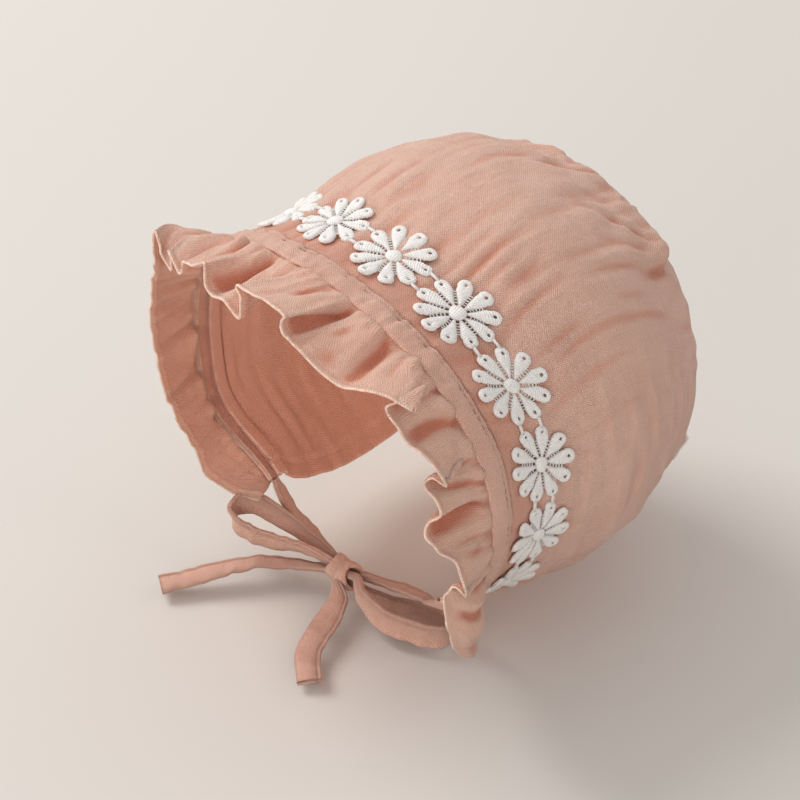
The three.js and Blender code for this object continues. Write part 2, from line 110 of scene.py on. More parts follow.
TIE_RIGHT = np.array([
    (-41.9, -45.1, -46.6, -40, 1.0), (-35, -44, -56, -35, 1.0), (-27, -43.5, -60, -20, 0.8),
    (-19, -44, -62, -10, 0.6), (-11.8, -44.8, -62, -10, 0.35),
    (-7, -46.2, -62.4, INSIDE, 0.3), (-7, -47.8, -61, INSIDE, 0.3),
    (-11, -48.6, -60.2, 60, 0.35), (-20, -53, -58, 70, 0.7), (-30, -58, -58.5, 80, 1.0),
    (-39, -61.5, -57, 85, 1.0), (-44.5, -60.5, -53.5, 80, 1.0), (-43, -55, -52, 70, 1.0),
    (-33, -50.5, -54.5, 60, 0.8), (-22, -48, -57.5, 50, 0.6), (-11.5, -46.5, -60, 40, 0.3),
    (-6, -46.6, -62.8, INSIDE, 0.3), (-6.4, -48.8, -63.4, INSIDE, 0.3),
    (-10.5, -49.9, -63, 10, 0.4), (-19, -55, -63.5, 8, 0.7), (-27, -62, -63.5, 6, 0.9),
    (-33, -71, -64.5, 6, 1.0), (-38, -80, -66, 4, 1.0), (-44, -91, -68, -2, 1.0),
])
TAPE_WIDTH = 8.0
TAPE_THICKNESS = 1.5
KNOT = {"centre": (-5.0, -47.0, -62.5), "length": 14.0, "width": 8.0, "height": 9.0}

CLOTH = 1.2
BAND_CLOTH = 1.3
RUFFLE_CLOTH = 0.75
BACK_RADIUS = 70.2

DAISY_COUNT = 12
DAISY_PITCH = 25.6
DAISY_RADIUS = 12.2
PETAL_COUNT = 10
LACE_CLEARANCE = 0.4

TINY = 1e-9
NOISE_SIDE = 128


# Sums shared by the pieces
def ramp(value, low, high):
    """A smooth rise from 0 at the low value to 1 at the high one."""
    share = np.clip((value - low) / (high - low), 0, 1)
    return share * share * (3 - 2 * share)


def lump(value, middle, half_width):
    """A smooth hump of height 1, zero past its half width."""
    share = np.clip(np.abs(value - middle) / half_width, 0, 1)
    return (1 + np.cos(np.pi * share)) / 2


def noise(u, v, seed):
    """Smooth noise from -1 to 1 over a plane, one swell to each unit."""
    lattice = np.random.default_rng(seed).uniform(-1, 1, (NOISE_SIDE, NOISE_SIDE))
    u, v = np.broadcast_arrays(np.asarray(u, float), np.asarray(v, float))
    left, low = np.floor(u).astype(int), np.floor(v).astype(int)
    across, up = ramp(u - left, 0, 1), ramp(v - low, 0, 1)
    corner = [
        [lattice[(left + i) % NOISE_SIDE, (low + j) % NOISE_SIDE] for j in (0, 1)]
        for i in (0, 1)
    ]
    near = corner[0][0] * (1 - up) + corner[0][1] * up
    far = corner[1][0] * (1 - up) + corner[1][1] * up
    return near * (1 - across) + far * across


def unit(vectors):
    return vectors / np.maximum(np.linalg.norm(vectors, axis=-1, keepdims=True), TINY)


def spline(control, place):
    """Points of a smooth curve through control points (..., count, 3), at places counted in points."""
    control = np.asarray(control, float)
    ends = np.concatenate([
        2 * control[..., :1, :] - control[..., 1:2, :],
        control,
        2 * control[..., -1:, :] - control[..., -2:-1, :],
    ], axis=-2)
    place = np.asarray(place, float)
    first = np.clip(np.floor(place).astype(int), 0, control.shape[-2] - 2)
    share = (place - first)[..., None]
    ends = np.broadcast_to(ends, place.shape + ends.shape[-2:])
    a, b, c, d = (
        np.take_along_axis(ends, (first + k)[..., None, None], axis=-2)[..., 0, :]
        for k in range(4)
    )
    gap_ab, gap_bc, gap_cd = (
        np.sqrt(np.linalg.norm(q - p, axis=-1, keepdims=True)) + TINY
        for p, q in ((a, b), (b, c), (c, d))
    )
    start = ((b - a) / gap_ab - (c - a) / (gap_ab + gap_bc) + (c - b) / gap_bc) * gap_bc
    end = ((c - b) / gap_bc - (d - b) / (gap_bc + gap_cd) + (d - c) / gap_cd) * gap_bc
    square = -3 * b + 3 * c - 2 * start - end
    cube = 2 * b - 2 * c + start + end
    return b + share * (start + share * (square + share * cube))


def section_points(degrees, section=slice(None)):
    """Points of the sections at angles in degrees from the top: the last axis but one is the section."""
    angle = np.radians(degrees)
    level = (1 + np.cos(2 * angle)) / 2
    tug = PULL[section] * ramp(np.abs(degrees), CORNER_TUG["start"], CORNER_TUG["full"])
    reach = REACH_SIDE[section] + (REACH_TOP - REACH_SIDE)[section] * level
    reach = reach + CORNER_TUG["back"] * tug
    radius = RADIUS_SIDE[section] + (RADIUS_TOP - RADIUS_SIDE)[section] * level
    radius = radius - CORNER_TUG["inward"] * tug
    return np.stack([radius * np.sin(angle), reach, radius * np.cos(angle)], axis=-1)


def profiles(shares):
    """The cloth's section points at shares of the wrap, from the right side at -1 to the left at 1."""
    return section_points(np.asarray(shares)[..., None] * WRAP)


def lengths(points, axis):
    """Length along a grid of points from its start."""
    steps = np.linalg.norm(np.diff(points, axis=axis), axis=-1)
    first = np.zeros_like(np.take(steps, [0], axis=axis))
    return np.concatenate([first, np.cumsum(steps, axis=axis)], axis=axis)


def even_places(control, first, last, count):
    """Places between two points of a curve that are evenly spaced along it."""
    fine = np.linspace(first, last, 400)
    run = lengths(spline(control, fine), 0)
    return np.interp(np.linspace(0, run[-1], count), run, fine)


def degrees_round(points):
    return np.degrees(np.arctan2(points[..., 0], points[..., 2]))


def outward_at(degrees):
    """Directions out from the axis of the face, at angles in degrees from the top."""
    angle = np.radians(degrees)
    return np.stack([np.sin(angle), 0 * angle, np.cos(angle)], axis=-1)


def along_at(degrees):
    """Directions round the axis of the face, at angles in degrees from the top."""
    angle = np.radians(degrees)
    return np.stack([np.cos(angle), 0 * angle, -np.sin(angle)], axis=-1)


# Shader node groups and materials
def new_group(name, inputs, outputs, kind="ShaderNodeTree"):
    """A node group with named sockets: the tree, what it is given and what it puts out."""
    tree = bpy.data.node_groups.new(name, kind)
    for label, socket in inputs.items():
        tree.interface.new_socket(label, in_out="INPUT", socket_type="NodeSocket" + socket)
    for label, socket in outputs.items():
        tree.interface.new_socket(label, in_out="OUTPUT", socket_type="NodeSocket" + socket)
    return tree, tree.nodes.new("NodeGroupInput").outputs, tree.nodes.new("NodeGroupOutput").inputs


def add(tree, kind, settings=None, inputs=None):
    """A new node, with its settings made and each input linked or set."""
    node = tree.nodes.new(kind)
    for key, value in (settings or {}).items():
        setattr(node, key, value)
    for key, value in (inputs or {}).items():
        if isinstance(value, bpy.types.NodeSocket):
            tree.links.new(value, node.inputs[key])
        else:
            node.inputs[key].default_value = value
    return node


def sum_of(tree, operation, *values):
    return add(tree, "ShaderNodeMath", {"operation": operation}, dict(enumerate(values))).outputs[0]


def mix_of(tree, share, first, second):
    node = add(tree, "ShaderNodeMix", {"data_type": "RGBA"}, {0: share, 6: first, 7: second})
    return node.outputs[2]


def noise_of(tree, place, scale, detail=2.0, stretch=(1, 1, 1)):
    stretched = add(tree, "ShaderNodeVectorMath", {"operation": "MULTIPLY"}, {0: place, 1: stretch})
    return add(
        tree, "ShaderNodeTexNoise", None,
        {"Vector": stretched.outputs[0], "Scale": scale, "Detail": detail},
    )


def muslin_group():
    """Woven gauze on a cloth map in millimetres: thread crossings, slubs and small crinkles, with painted
    shade and a paler tone mixed in.
    """
    tree, given, made = new_group(
        "muslin weave",
        {
            "Cloth": "Vector", "Lit": "Color", "Deep": "Color", "Painted shade colour": "Color", "Pale": "Color",
            "Tone and painted shade": "Float", "Thread pitch": "Float", "Crinkle": "Float",
        },
        {"Color": "Color", "Height": "Float"},
    )
    drift = noise_of(tree, given["Cloth"], 0.35).outputs["Color"]
    centred = add(tree, "ShaderNodeVectorMath", {"operation": "SUBTRACT"}, {0: drift, 1: (0.5, 0.5, 0.5)})
    pulled = add(
        tree, "ShaderNodeVectorMath", {"operation": "MULTIPLY_ADD"},
        {0: centred.outputs[0], 1: (0.9, 0.9, 0.9), 2: given["Cloth"]},
    ).outputs[0]
    axes = add(tree, "ShaderNodeSeparateXYZ", None, {0: pulled}).outputs
    turn = sum_of(tree, "DIVIDE", 2 * math.pi, given["Thread pitch"])
    warp = sum_of(tree, "SINE", sum_of(tree, "MULTIPLY", axes["X"], turn))
    weft = sum_of(tree, "SINE", sum_of(tree, "MULTIPLY", axes["Y"], turn))
    weave = sum_of(tree, "MULTIPLY", warp, weft)
    long_slub = noise_of(tree, pulled, 1.0, 2.0, (0.1, 1.5, 1)).outputs["Fac"]
    cross_slub = noise_of(tree, pulled, 1.0, 2.0, (1.5, 0.1, 1)).outputs["Fac"]
    slub = sum_of(tree, "SUBTRACT", sum_of(tree, "ADD", long_slub, cross_slub), 1.0)
    cloud = sum_of(tree, "SUBTRACT", noise_of(tree, given["Cloth"], 0.06, 3.0).outputs["Fac"], 0.5)
    fuzz = sum_of(tree, "SUBTRACT", noise_of(tree, given["Cloth"], 2.2, 2.0).outputs["Fac"], 0.5)
    shade = sum_of(tree, "MULTIPLY_ADD", weave, 0.55, 0.5)
    for part, weight in ((slub, 0.5), (cloud, 0.6), (fuzz, 0.7)):
        shade = sum_of(tree, "MULTIPLY_ADD", part, weight, shade)
    shade = add(tree, "ShaderNodeClamp", None, {0: shade}).outputs[0]
    plain = mix_of(tree, shade, given["Deep"], given["Lit"])
    # Below zero the tone value mixes towards the paler colour, above zero towards the painted shade colour
    paler = mix_of(tree, sum_of(tree, "MULTIPLY", given["Tone and painted shade"], -1.0), plain, given["Pale"])
    tree.links.new(mix_of(tree, given["Tone and painted shade"], paler, given["Painted shade colour"]), made["Color"])
    crinkle = noise_of(tree, given["Cloth"], 0.28, 3.0, (1, 0.45, 1)).outputs["Fac"]
    height = sum_of(tree, "MULTIPLY", weave, 0.3)
    for part, weight in ((slub, 0.45), (fuzz, 0.35)):
        height = sum_of(tree, "MULTIPLY_ADD", part, weight, height)
    height = sum_of(tree, "ADD", sum_of(tree, "MULTIPLY", crinkle, given["Crinkle"]), height)
    tree.links.new(height, made["Height"])
    return tree


def thread_group():
    """Close satin stitches on a map in millimetres: threads lie across the length, side by side."""
    tree, given, made = new_group(
        "satin stitches",
        {"Cloth": "Vector", "Lit": "Color", "Deep": "Color", "Thread pitch": "Float"},
        {"Color": "Color", "Height": "Float"},
    )
    axes = add(tree, "ShaderNodeSeparateXYZ", None, {0: given["Cloth"]}).outputs
    waver = noise_of(tree, given["Cloth"], 0.8, 2.0).outputs["Fac"]
    slant = sum_of(tree, "MULTIPLY_ADD", axes["Y"], 0.25, axes["X"])
    along = sum_of(tree, "MULTIPLY_ADD", waver, 0.7, slant)
    turn = sum_of(tree, "DIVIDE", 2 * math.pi, given["Thread pitch"])
    ridge = sum_of(tree, "SINE", sum_of(tree, "MULTIPLY", along, turn))
    fuzz = sum_of(tree, "SUBTRACT", noise_of(tree, given["Cloth"], 2.5, 3.0).outputs["Fac"], 0.5)
    shade = sum_of(tree, "MULTIPLY_ADD", ridge, 0.22, 0.68)
    shade = sum_of(tree, "MULTIPLY_ADD", fuzz, 0.8, shade)
    shade = add(tree, "ShaderNodeClamp", None, {0: shade}).outputs[0]
    tree.links.new(mix_of(tree, shade, given["Deep"], given["Lit"]), made["Color"])
    height = sum_of(tree, "MULTIPLY", ridge, 0.5)
    height = sum_of(tree, "MULTIPLY_ADD", fuzz, 1.2, height)
    tree.links.new(height, made["Height"])
    return tree


MUSLIN = muslin_group()
THREAD = thread_group()


def colour(red, green, blue):
    """A linear colour from the usual 0 to 255 values."""
    values = np.array([red, green, blue]) / 255
    linear = np.where(values > 0.04045, ((values + 0.055) / 1.055) ** 2.4, values / 12.92)
    return (*linear.tolist(), 1.0)


def woven_material(name, group, values, bump, roughness, sheen, glow, depth, soak=2.2):
    """A cloth or thread finish: the group gives colour and height, the rest is even all over.

    Depth is the height of the relief and soak how far light goes in, both in millimetres.
    """
    material = bpy.data.materials.new(name)
    material.use_nodes = True
    tree = material.node_tree
    shader = tree.nodes["Principled BSDF"]
    cloth = add(tree, "ShaderNodeUVMap", {"uv_map": "cloth"})
    weave = add(tree, "ShaderNodeGroup", {"node_tree": group}, {"Cloth": cloth.outputs["UV"], **values})
    if group == MUSLIN:
        # Each point's tone and painted shade, as set on the mesh
        tone_and_painted_shade = add(tree, "ShaderNodeAttribute", {"attribute_name": "tone_and_painted_shade"})
        tree.links.new(tone_and_painted_shade.outputs["Fac"], weave.inputs["Tone and painted shade"])
    relief = add(
        tree, "ShaderNodeBump", None,
        {"Strength": bump, "Distance": depth * MM, "Height": weave.outputs["Height"]},
    )
    tree.links.new(weave.outputs["Color"], shader.inputs["Base Color"])
    tree.links.new(relief.outputs["Normal"], shader.inputs["Normal"])
    shader.inputs["Roughness"].default_value = roughness
    shader.inputs["Specular IOR Level"].default_value = 0.2
    shader.inputs["Sheen Weight"].default_value = sheen
    shader.inputs["Sheen Roughness"].default_value = 0.5
    shader.inputs["Subsurface Weight"].default_value = glow
    shader.inputs["Subsurface Radius"].default_value = (1.0, 0.85, 0.75)
    shader.inputs["Subsurface Scale"].default_value = soak * MM
    return material


def muslin_material(name, lit, deep, pitch, crinkle, bump, glow, soak):
    values = {
        "Lit": lit,
        "Deep": deep,
        # Painted shade colour: folds, hollows and inner sides are mixed towards it; the pale colour is for
        # the ruffle's free edge
        "Painted shade colour": colour(216, 136, 106),
        "Pale": colour(246, 220, 205),
        "Thread pitch": pitch,
        "Crinkle": crinkle,
    }
    return woven_material(
        name, MUSLIN, values, bump, roughness=0.9, sheen=0.2, glow=glow, depth=0.85, soak=soak,
    )


PINK_LIT = colour(242, 204, 187)
PINK_DEEP = colour(212, 162, 142)
FRILL_LIT = colour(253, 211, 193)
FRILL_DEEP = colour(232, 172, 149)
CROWN_MUSLIN = muslin_material(
    "crown_muslin", PINK_LIT, PINK_DEEP,
    pitch=0.78, crinkle=2.6, bump=0.8, glow=0.25, soak=1.5,
)
RUFFLE_MUSLIN = muslin_material(
    "ruffle_muslin", FRILL_LIT, FRILL_DEEP,
    pitch=0.78, crinkle=2.4, bump=0.9, glow=0.4, soak=2.0,
)
TAPE_MUSLIN = muslin_material(
    "tape_muslin", PINK_LIT, PINK_DEEP,
    pitch=0.75, crinkle=2.4, bump=0.9, glow=0.25, soak=1.2,
)
LACE_VALUES = {"Lit": colour(252, 249, 246), "Deep": colour(232, 226, 220), "Thread pitch": 0.7}
LACE_THREAD = woven_material(
    "lace_thread", THREAD, LACE_VALUES,
    bump=0.6, roughness=0.75, sheen=0.1, glow=0.3, depth=0.4,
)
# The stitches are coloured much darker than the cloth: real stitches carrying the painted shade of the sunk
# stitch holes
STITCH_SHADE_VALUES = {"Lit": colour(190, 132, 110), "Deep": colour(150, 96, 76), "Thread pitch": 0.3}
SHADED_STITCH_THREAD = woven_material(
    "stitch_thread_painted_shade", THREAD, STITCH_SHADE_VALUES,
    bump=0.4, roughness=0.8, sheen=0.1, glow=0.1, depth=0.2,
)
LABEL_VALUES = {"Lit": colour(252, 247, 238), "Deep": colour(236, 228, 214), "Thread pitch": 0.45}
LABEL_WEAVE = woven_material(
    "label_weave", THREAD, LABEL_VALUES,
    bump=0.4, roughness=0.7, sheen=0.1, glow=0.4, depth=0.2,
)


# Meshes
def linked(name, data):
    """A new object in the scene."""
    made = bpy.data.objects.new(name, data)
    bpy.context.scene.collection.objects.link(made)
    return made


def set_cloth_map(mesh, cloth):
    """Lays the cloth's map, in millimetres, on a mesh: one place for each point."""
    corners = np.empty(len(mesh.loops), np.int32)
    mesh.loops.foreach_get("vertex_index", corners)
    layer = mesh.uv_layers.get("cloth") or mesh.uv_layers.new(name="cloth")
    layer.data.foreach_set("uv", np.asarray(cloth, np.float32)[corners].ravel())


def mesh_object(name, points, faces, material, cloth=None, tone_and_painted_shade=None):
    """An object at the origin with its place in its mesh; cloth is the map in millimetres, and the last
    argument each point's tone and painted shade.
    """
    mesh = bpy.data.meshes.new(name)
    places = (np.asarray(points) + HEAD_CENTRE) * MM
    mesh.from_pydata(places.tolist(), [], [list(map(int, face)) for face in faces])
    mesh.shade_smooth()
    mesh.materials.append(material)
    if cloth is not None:
        set_cloth_map(mesh, cloth)
    if tone_and_painted_shade is not None:
        attribute = mesh.attributes.new("tone_and_painted_shade", "FLOAT", "POINT")
        attribute.data.foreach_set("value", np.asarray(tone_and_painted_shade, np.float32).ravel())
    return linked(name, mesh)


def finish_piece(made, slot, *nodes):
    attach(made, "root")
    if nodes:
        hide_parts(*nodes)
    return made


def grid_faces(rows, columns):
    first = (np.arange(rows - 1)[:, None] * columns + np.arange(columns - 1)).ravel()
    return np.stack([first, first + 1, first + columns + 1, first + columns], axis=1)


def grid_normals(grid):
    across = np.gradient(grid, axis=1)
    down = np.gradient(grid, axis=0)
    return unit(np.cross(across, down))


def fold_depth(grid, reach, steps):
    """How far each point lies in a fold: the height of its neighbours above it, in millimetres."""
    before = np.roll(grid, steps, axis=1)
    after = np.roll(grid, -steps, axis=1)
    depth = (((before + after) / 2 - grid) * grid_normals(grid)).sum(axis=-1)
    depth[:, :steps] = 0
    depth[:, -steps:] = 0
    return np.clip(depth / reach, 0, 1)


def grid_rim(rows, columns):
    """Point numbers round the edge of a grid, and those of the points just inside them."""
    number = np.arange(rows * columns).reshape(rows, columns)
    inside = np.pad(number[1:-1, 1:-1], 1, mode="edge")
    sides = [(0, slice(0, -1)), (slice(0, -1), -1), (-1, slice(-1, 0, -1)), (slice(-1, 0, -1), 0)]
    rim = np.concatenate([number[side] for side in sides])
    return rim, np.concatenate([inside[side] for side in sides])


def cloth_shell(grid, cloth, thickness, tone_and_painted_shade, inner_tone_and_shade, bead=0.45):
    """A cloth wall from a grid of outer points, with a rounded edge all round. Each side takes its own tone
    and painted shade, and the edge takes the outer side's.
    """
    rows, columns = grid.shape[:2]
    outer = grid.reshape(-1, 3)
    inner = (grid - thickness * grid_normals(grid)).reshape(-1, 3)
    rim, inside = grid_rim(rows, columns)
    middle = (outer + inner) / 2
    edge = middle[rim] + bead * thickness * unit(middle[rim] - middle[inside])
    count = len(outer)
    ring = 2 * count + np.arange(len(rim))
    after, ring_after = np.roll(rim, -1), np.roll(ring, -1)
    faces = grid_faces(rows, columns)
    faces = np.concatenate([
        faces,
        faces[:, ::-1] + count,
        np.stack([after, rim, ring, ring_after], axis=1),
        np.stack([ring_after, ring, rim + count, after + count], axis=1),
    ])
    flat = cloth.reshape(-1, 2)
    tint = np.broadcast_to(tone_and_painted_shade, (rows, columns)).reshape(-1)
    inner_tint = np.broadcast_to(inner_tone_and_shade, (rows, columns)).reshape(-1)
    points = np.concatenate([outer, inner, edge])
    spread = np.concatenate([flat, flat, flat[rim]])
    tints = np.concatenate([tint, inner_tint, tint[rim]])
    return points, faces, spread, tints


def cloth_map(grid):
    """Lengths across and down a grid, in millimetres, with the middle column at zero."""
    across = lengths(grid, 1)
    across = across - across[:, across.shape[1] // 2][:, None]
    return np.stack([across, lengths(grid, 0)], axis=-1)


# Crown
CROWN_COLUMNS = 321
CROWN_ROWS = 118
CROWN_CRINKLES = (
    {"zone": "top_front", "height": 0.80, "across": 2.6, "down": 22, "slant": 40, "seed": 1},
    {"zone": "top_rear", "height": 0.55, "across": 3.2, "down": 24, "slant": math.inf, "seed": 2},
    {"zone": "sides", "height": 0.75, "across": 24, "down": 3.2, "slant": math.inf, "seed": 3},
    {"zone": "all_over", "height": 0.45, "across": 11, "down": 9, "slant": math.inf, "seed": 4},
)
NECK_HEM = {
    "width": 6.0, "step": 0.7, "height": 0.5, "furrow_at": 6.2, "furrow_half": 0.9, "furrow_depth": 0.45,
}
fold_draws = np.random.default_rng(11)
FINE_GATHERS = [
    (at + fold_draws.uniform(-1.5, 1.5), fold_draws.uniform(0.3, 1.0), fold_draws.uniform(2.4, 3.8))
    for at in np.arange(-80, 82, 5.2)
]


def hem_height(to_edge):
    """The doubled hem along the neck, and the furrow that its seam sews beside it."""
    doubled = 1 - ramp(to_edge, NECK_HEM["width"] - NECK_HEM["step"], NECK_HEM["width"])
    furrow = lump(to_edge, NECK_HEM["furrow_at"], NECK_HEM["furrow_half"])
    return NECK_HEM["height"] * doubled - NECK_HEM["furrow_depth"] * furrow


def gather_height(degrees, place):
    """Folds that rise behind the middle of the crown and are drawn flat in the back seam."""
    broad = sum(height * lump(degrees, at, GATHER_HALF_WIDTH) for at, height in GATHERS)
    broad = 0.2 * broad * ramp(place, MID_CROWN, GATHERED)
    fine = sum(height * lump(degrees, at, half) for at, height, half in FINE_GATHERS)
    fine = 0.4 * fine * ramp(place, MID_CROWN + 0.6, PUFF)
    return (broad + fine) * (1 - 0.8 * ramp(place, PUFF, BACK_SEAM))


DRAWN_POINTS = (
    # at is in degrees from the top, and the other sizes are in millimetres
    {"at": 20, "reach": 46, "spread": 60, "height": 1.1, "seed": 61},
    {"at": 46, "reach": 42, "spread": 44, "height": 0.9, "seed": 62},
    {"at": -24, "reach": 44, "spread": 40, "height": 0.7, "seed": 63},
)


def drawn_folds(degrees, reach, across, down):
    """Creases that spread over the crown from points where the back seam draws the cloth in."""
    swell = 0 * across
    for point in DRAWN_POINTS:
        miss = np.abs(degrees - point["at"]) + np.abs(reach - point["reach"])
        spot = np.unravel_index(np.argmin(miss), miss.shape)
        aside, ahead = across - across[spot], down[spot] - down
        far = np.hypot(aside, ahead)
        fan = np.arctan2(aside, ahead + 3)
        fade = ramp(far, 2, 9) * (1 - ramp(far, 0.4 * point["spread"], point["spread"]))
        swell = swell + point["height"] * fade * noise(fan * 5.5, far / 30, point["seed"])
    return swell


def back_tucks(degrees, reach):
    """The deep crease over the top of the back seam, and the sharp tuck on the left side of it."""
    along = ramp(degrees, -16, -6) * (1 - ramp(degrees, 17, 24))
    behind = reach - (39 + 7.6 * (degrees + 5) / 25)
    crease = along * (-4.0 * lump(behind, 0, 3.2) + 1.8 * lump(behind, 5.5, 4.5))
    tuck_run = ramp(reach, 27, 38)
    lip = 0.8 * lump(degrees, 44, 5) - 2.8 * lump(degrees, 49.5, 3.4)
    return crease + tuck_run * lip


def crown_cloth():
    shares = np.linspace(-1, 1, CROWN_COLUMNS)
    control = profiles(shares)
    places = even_places(profiles(0.3), STITCH_ROW - 0.4, BACK_SEAM, CROWN_ROWS)[:, None]
    grid = spline(control[None], np.broadcast_to(places, (CROWN_ROWS, CROWN_COLUMNS)))
    cloth = cloth_map(grid)
    across, down = cloth[..., 0], cloth[..., 1]
    degrees = degrees_round(grid)
    to_back = down[-1][None] - down
    top = 1 - ramp(np.abs(degrees - 8), 40, 88)
    side = ramp(np.abs(degrees - 5), 42, 80)
    front = 1 - ramp(down, 28, 70)
    swell = gather_height(degrees, places)
    swell = swell + back_tucks(degrees, grid[..., 1]) + drawn_folds(degrees, grid[..., 1], across, down)
    zones = {"top_front": top * front, "top_rear": top * (1 - front), "sides": side, "all_over": 1.0}
    for row in CROWN_CRINKLES:
        waves = noise(across / row["across"] + down / row["slant"], down / row["down"], row["seed"])
        swell = swell + row["height"] * zones[row["zone"]] * waves
    under_band = 1.5 * (1 - ramp(down, 2.6, 4.4))
    turned_in = 2.2 * lump(to_back, 0, 3.0)
    swell = swell * ramp(down, 2, 7) - under_band - turned_in
    to_hem = (1 - np.abs(shares)) * np.abs(across).max(axis=1, keepdims=True)
    swell = swell + hem_height(to_hem)
    grid = grid + swell[..., None] * unit(grid)
    # Tone and painted shade: a warmer, darker tone along the front strip behind the band, painted shade in
    # the crescent pocket at the top of the back seam and in the folds, and painted shade on the inner side
    strip = 0.45 * (1 - ramp(down, 14, 22)) * ramp(down, 3, 5)
    pocket_shade = 0.7 * ramp(degrees, -14, -4) * (1 - ramp(degrees, 16, 23)) * ramp(grid[..., 1], 40, 44)
    tone_and_fold_shade = np.clip(np.maximum(strip, pocket_shade) + 0.7 * fold_depth(grid, 0.8, 3), 0, 1)
    points, faces, cloth, tone_and_painted_shade = cloth_shell(grid, cloth, CLOTH, tone_and_fold_shade, 0.55)
    return mesh_object("crown_cloth", points, faces, CROWN_MUSLIN, cloth, tone_and_painted_shade)


# Back panel
PANEL_ROWS = 76
PANEL_COLUMNS = 84
PANEL_CORNER = 46
PANEL_LAP = 0.9


def back_cloth():
    """The horseshoe panel, spread between its four edges and domed over the head."""
    wrap = WRAP[BACK_SEAM]

    def rim(degrees):
        point = section_points(np.asarray(degrees)[..., None], [BACK_SEAM])[..., 0, [0, 2]]
        return point * (1 + PANEL_LAP / np.linalg.norm(point, axis=-1, keepdims=True))

    u = np.linspace(0, 1, PANEL_COLUMNS)[None, :, None]
    v = np.linspace(0, 1, PANEL_ROWS)[:, None, None]
    top = rim(PANEL_CORNER * (2 * u[..., 0] - 1))
    right = rim(-PANEL_CORNER - (wrap - PANEL_CORNER) * v[..., 0])
    left = rim(PANEL_CORNER + (wrap - PANEL_CORNER) * v[..., 0])
    nape = rim(-wrap) * (1 - u) + rim(wrap) * u
    flat = (1 - v) * top + v * nape + (1 - u) * right + u * left
    flat = flat - (1 - u) * (1 - v) * rim(-PANEL_CORNER) - u * (1 - v) * rim(PANEL_CORNER)
    flat = flat - (1 - u) * v * rim(-wrap) - u * v * rim(wrap)
    reach = np.sqrt(BACK_RADIUS**2 - (flat**2).sum(axis=-1))
    grid = np.stack([flat[..., 0], reach, flat[..., 1]], axis=-1)
    cloth = cloth_map(grid)
    across, down = cloth[..., 0], cloth[..., 1]
    edge = np.linalg.norm(flat, axis=-1)
    swell = 0.38 * noise(across / 4.6, down / 30, 5) + 0.35 * noise(across / 12, down / 14, 6)
    pucker = ramp(edge, 40, 53) * noise(degrees_round(grid) / 3.4, edge / 30, 7)
    swell = swell + 0.9 * pucker * (1 - ramp(edge, 53, 55)) - 0.9 * ramp(edge, 52.5, 55)
    swell = swell + hem_height(lengths(grid[::-1], 0)[::-1])
    grid = grid + swell[..., None] * unit(grid)
    # The outer side keeps its plain colour and the inner side gets painted shade
    points, faces, cloth, tone_and_painted_shade = cloth_shell(grid, cloth, CLOTH, 0.0, 0.55)
    return mesh_object("back_cloth", points, faces, CROWN_MUSLIN, cloth, tone_and_painted_shade)


# Front band
BAND_COLUMNS = 401
BAND_ROWS = 19
STITCH_AT = 0.86
BAND_PROUD = 0.5


def band_cloth():
    shares = np.linspace(-1, 1, BAND_COLUMNS)
    places = np.linspace(SEAM, STITCH_ROW, BAND_ROWS)[:, None]
    grid = spline(profiles(shares)[None], np.broadcast_to(places, (BAND_ROWS, BAND_COLUMNS)))
    cloth = cloth_map(grid)
    across, down = cloth[..., 0], cloth[..., 1]
    degrees = degrees_round(grid)
    top = 1 - 0.6 * ramp(np.abs(degrees + 5), 35, 80)
    swell = BAND_PROUD + 0.5 * np.sin(np.pi * places / STITCH_ROW) ** 0.7
    swell = swell + 0.75 * top * noise(across / 1.9, down / 9, 8) * ramp(down, -1, 3)
    swell = swell + 0.3 * noise(across / 7, down / 8, 9) - 0.45 * lump(places, STITCH_AT, 0.13)
    grid = grid + swell[..., None] * outward_at(degrees)
    # A faint even tint outside and painted shade on the inner side
    points, faces, cloth, tone_and_painted_shade = cloth_shell(grid, cloth, BAND_CLOTH, 0.1, 0.5)
    return mesh_object("band_cloth", points, faces, CROWN_MUSLIN, cloth, tone_and_painted_shade)


# Ruffle
RUFFLE_STEPS = 12
RUFFLE_ROWS = 28
RUFFLE_TUCK = 1.2
RUFFLE_HEM = 1.7
# Degrees round the seam of the folds' sharp tips, where the cloth is smooth
RUFFLE_TIPS = (-51, -42, -33, -3, 46, 66, 98)
RUFFLE_CREASES = (
    # degrees round the seam, depth, half width in degrees
    (-62, 1.8, 4.0), (-40, 1.8, 3.0), (-31, 1.6, 2.6), (-11, 3.2, 3.2), (21, 4.0, 3.0), (34, 2.4, 2.6),
    (47.5, 1.2, 3.0), (57, 2.0, 2.6), (67.5, 1.2, 3.0), (74, 1.4, 2.4), (81.5, 4.4, 3.4), (100, 2.0, 3.2),
)


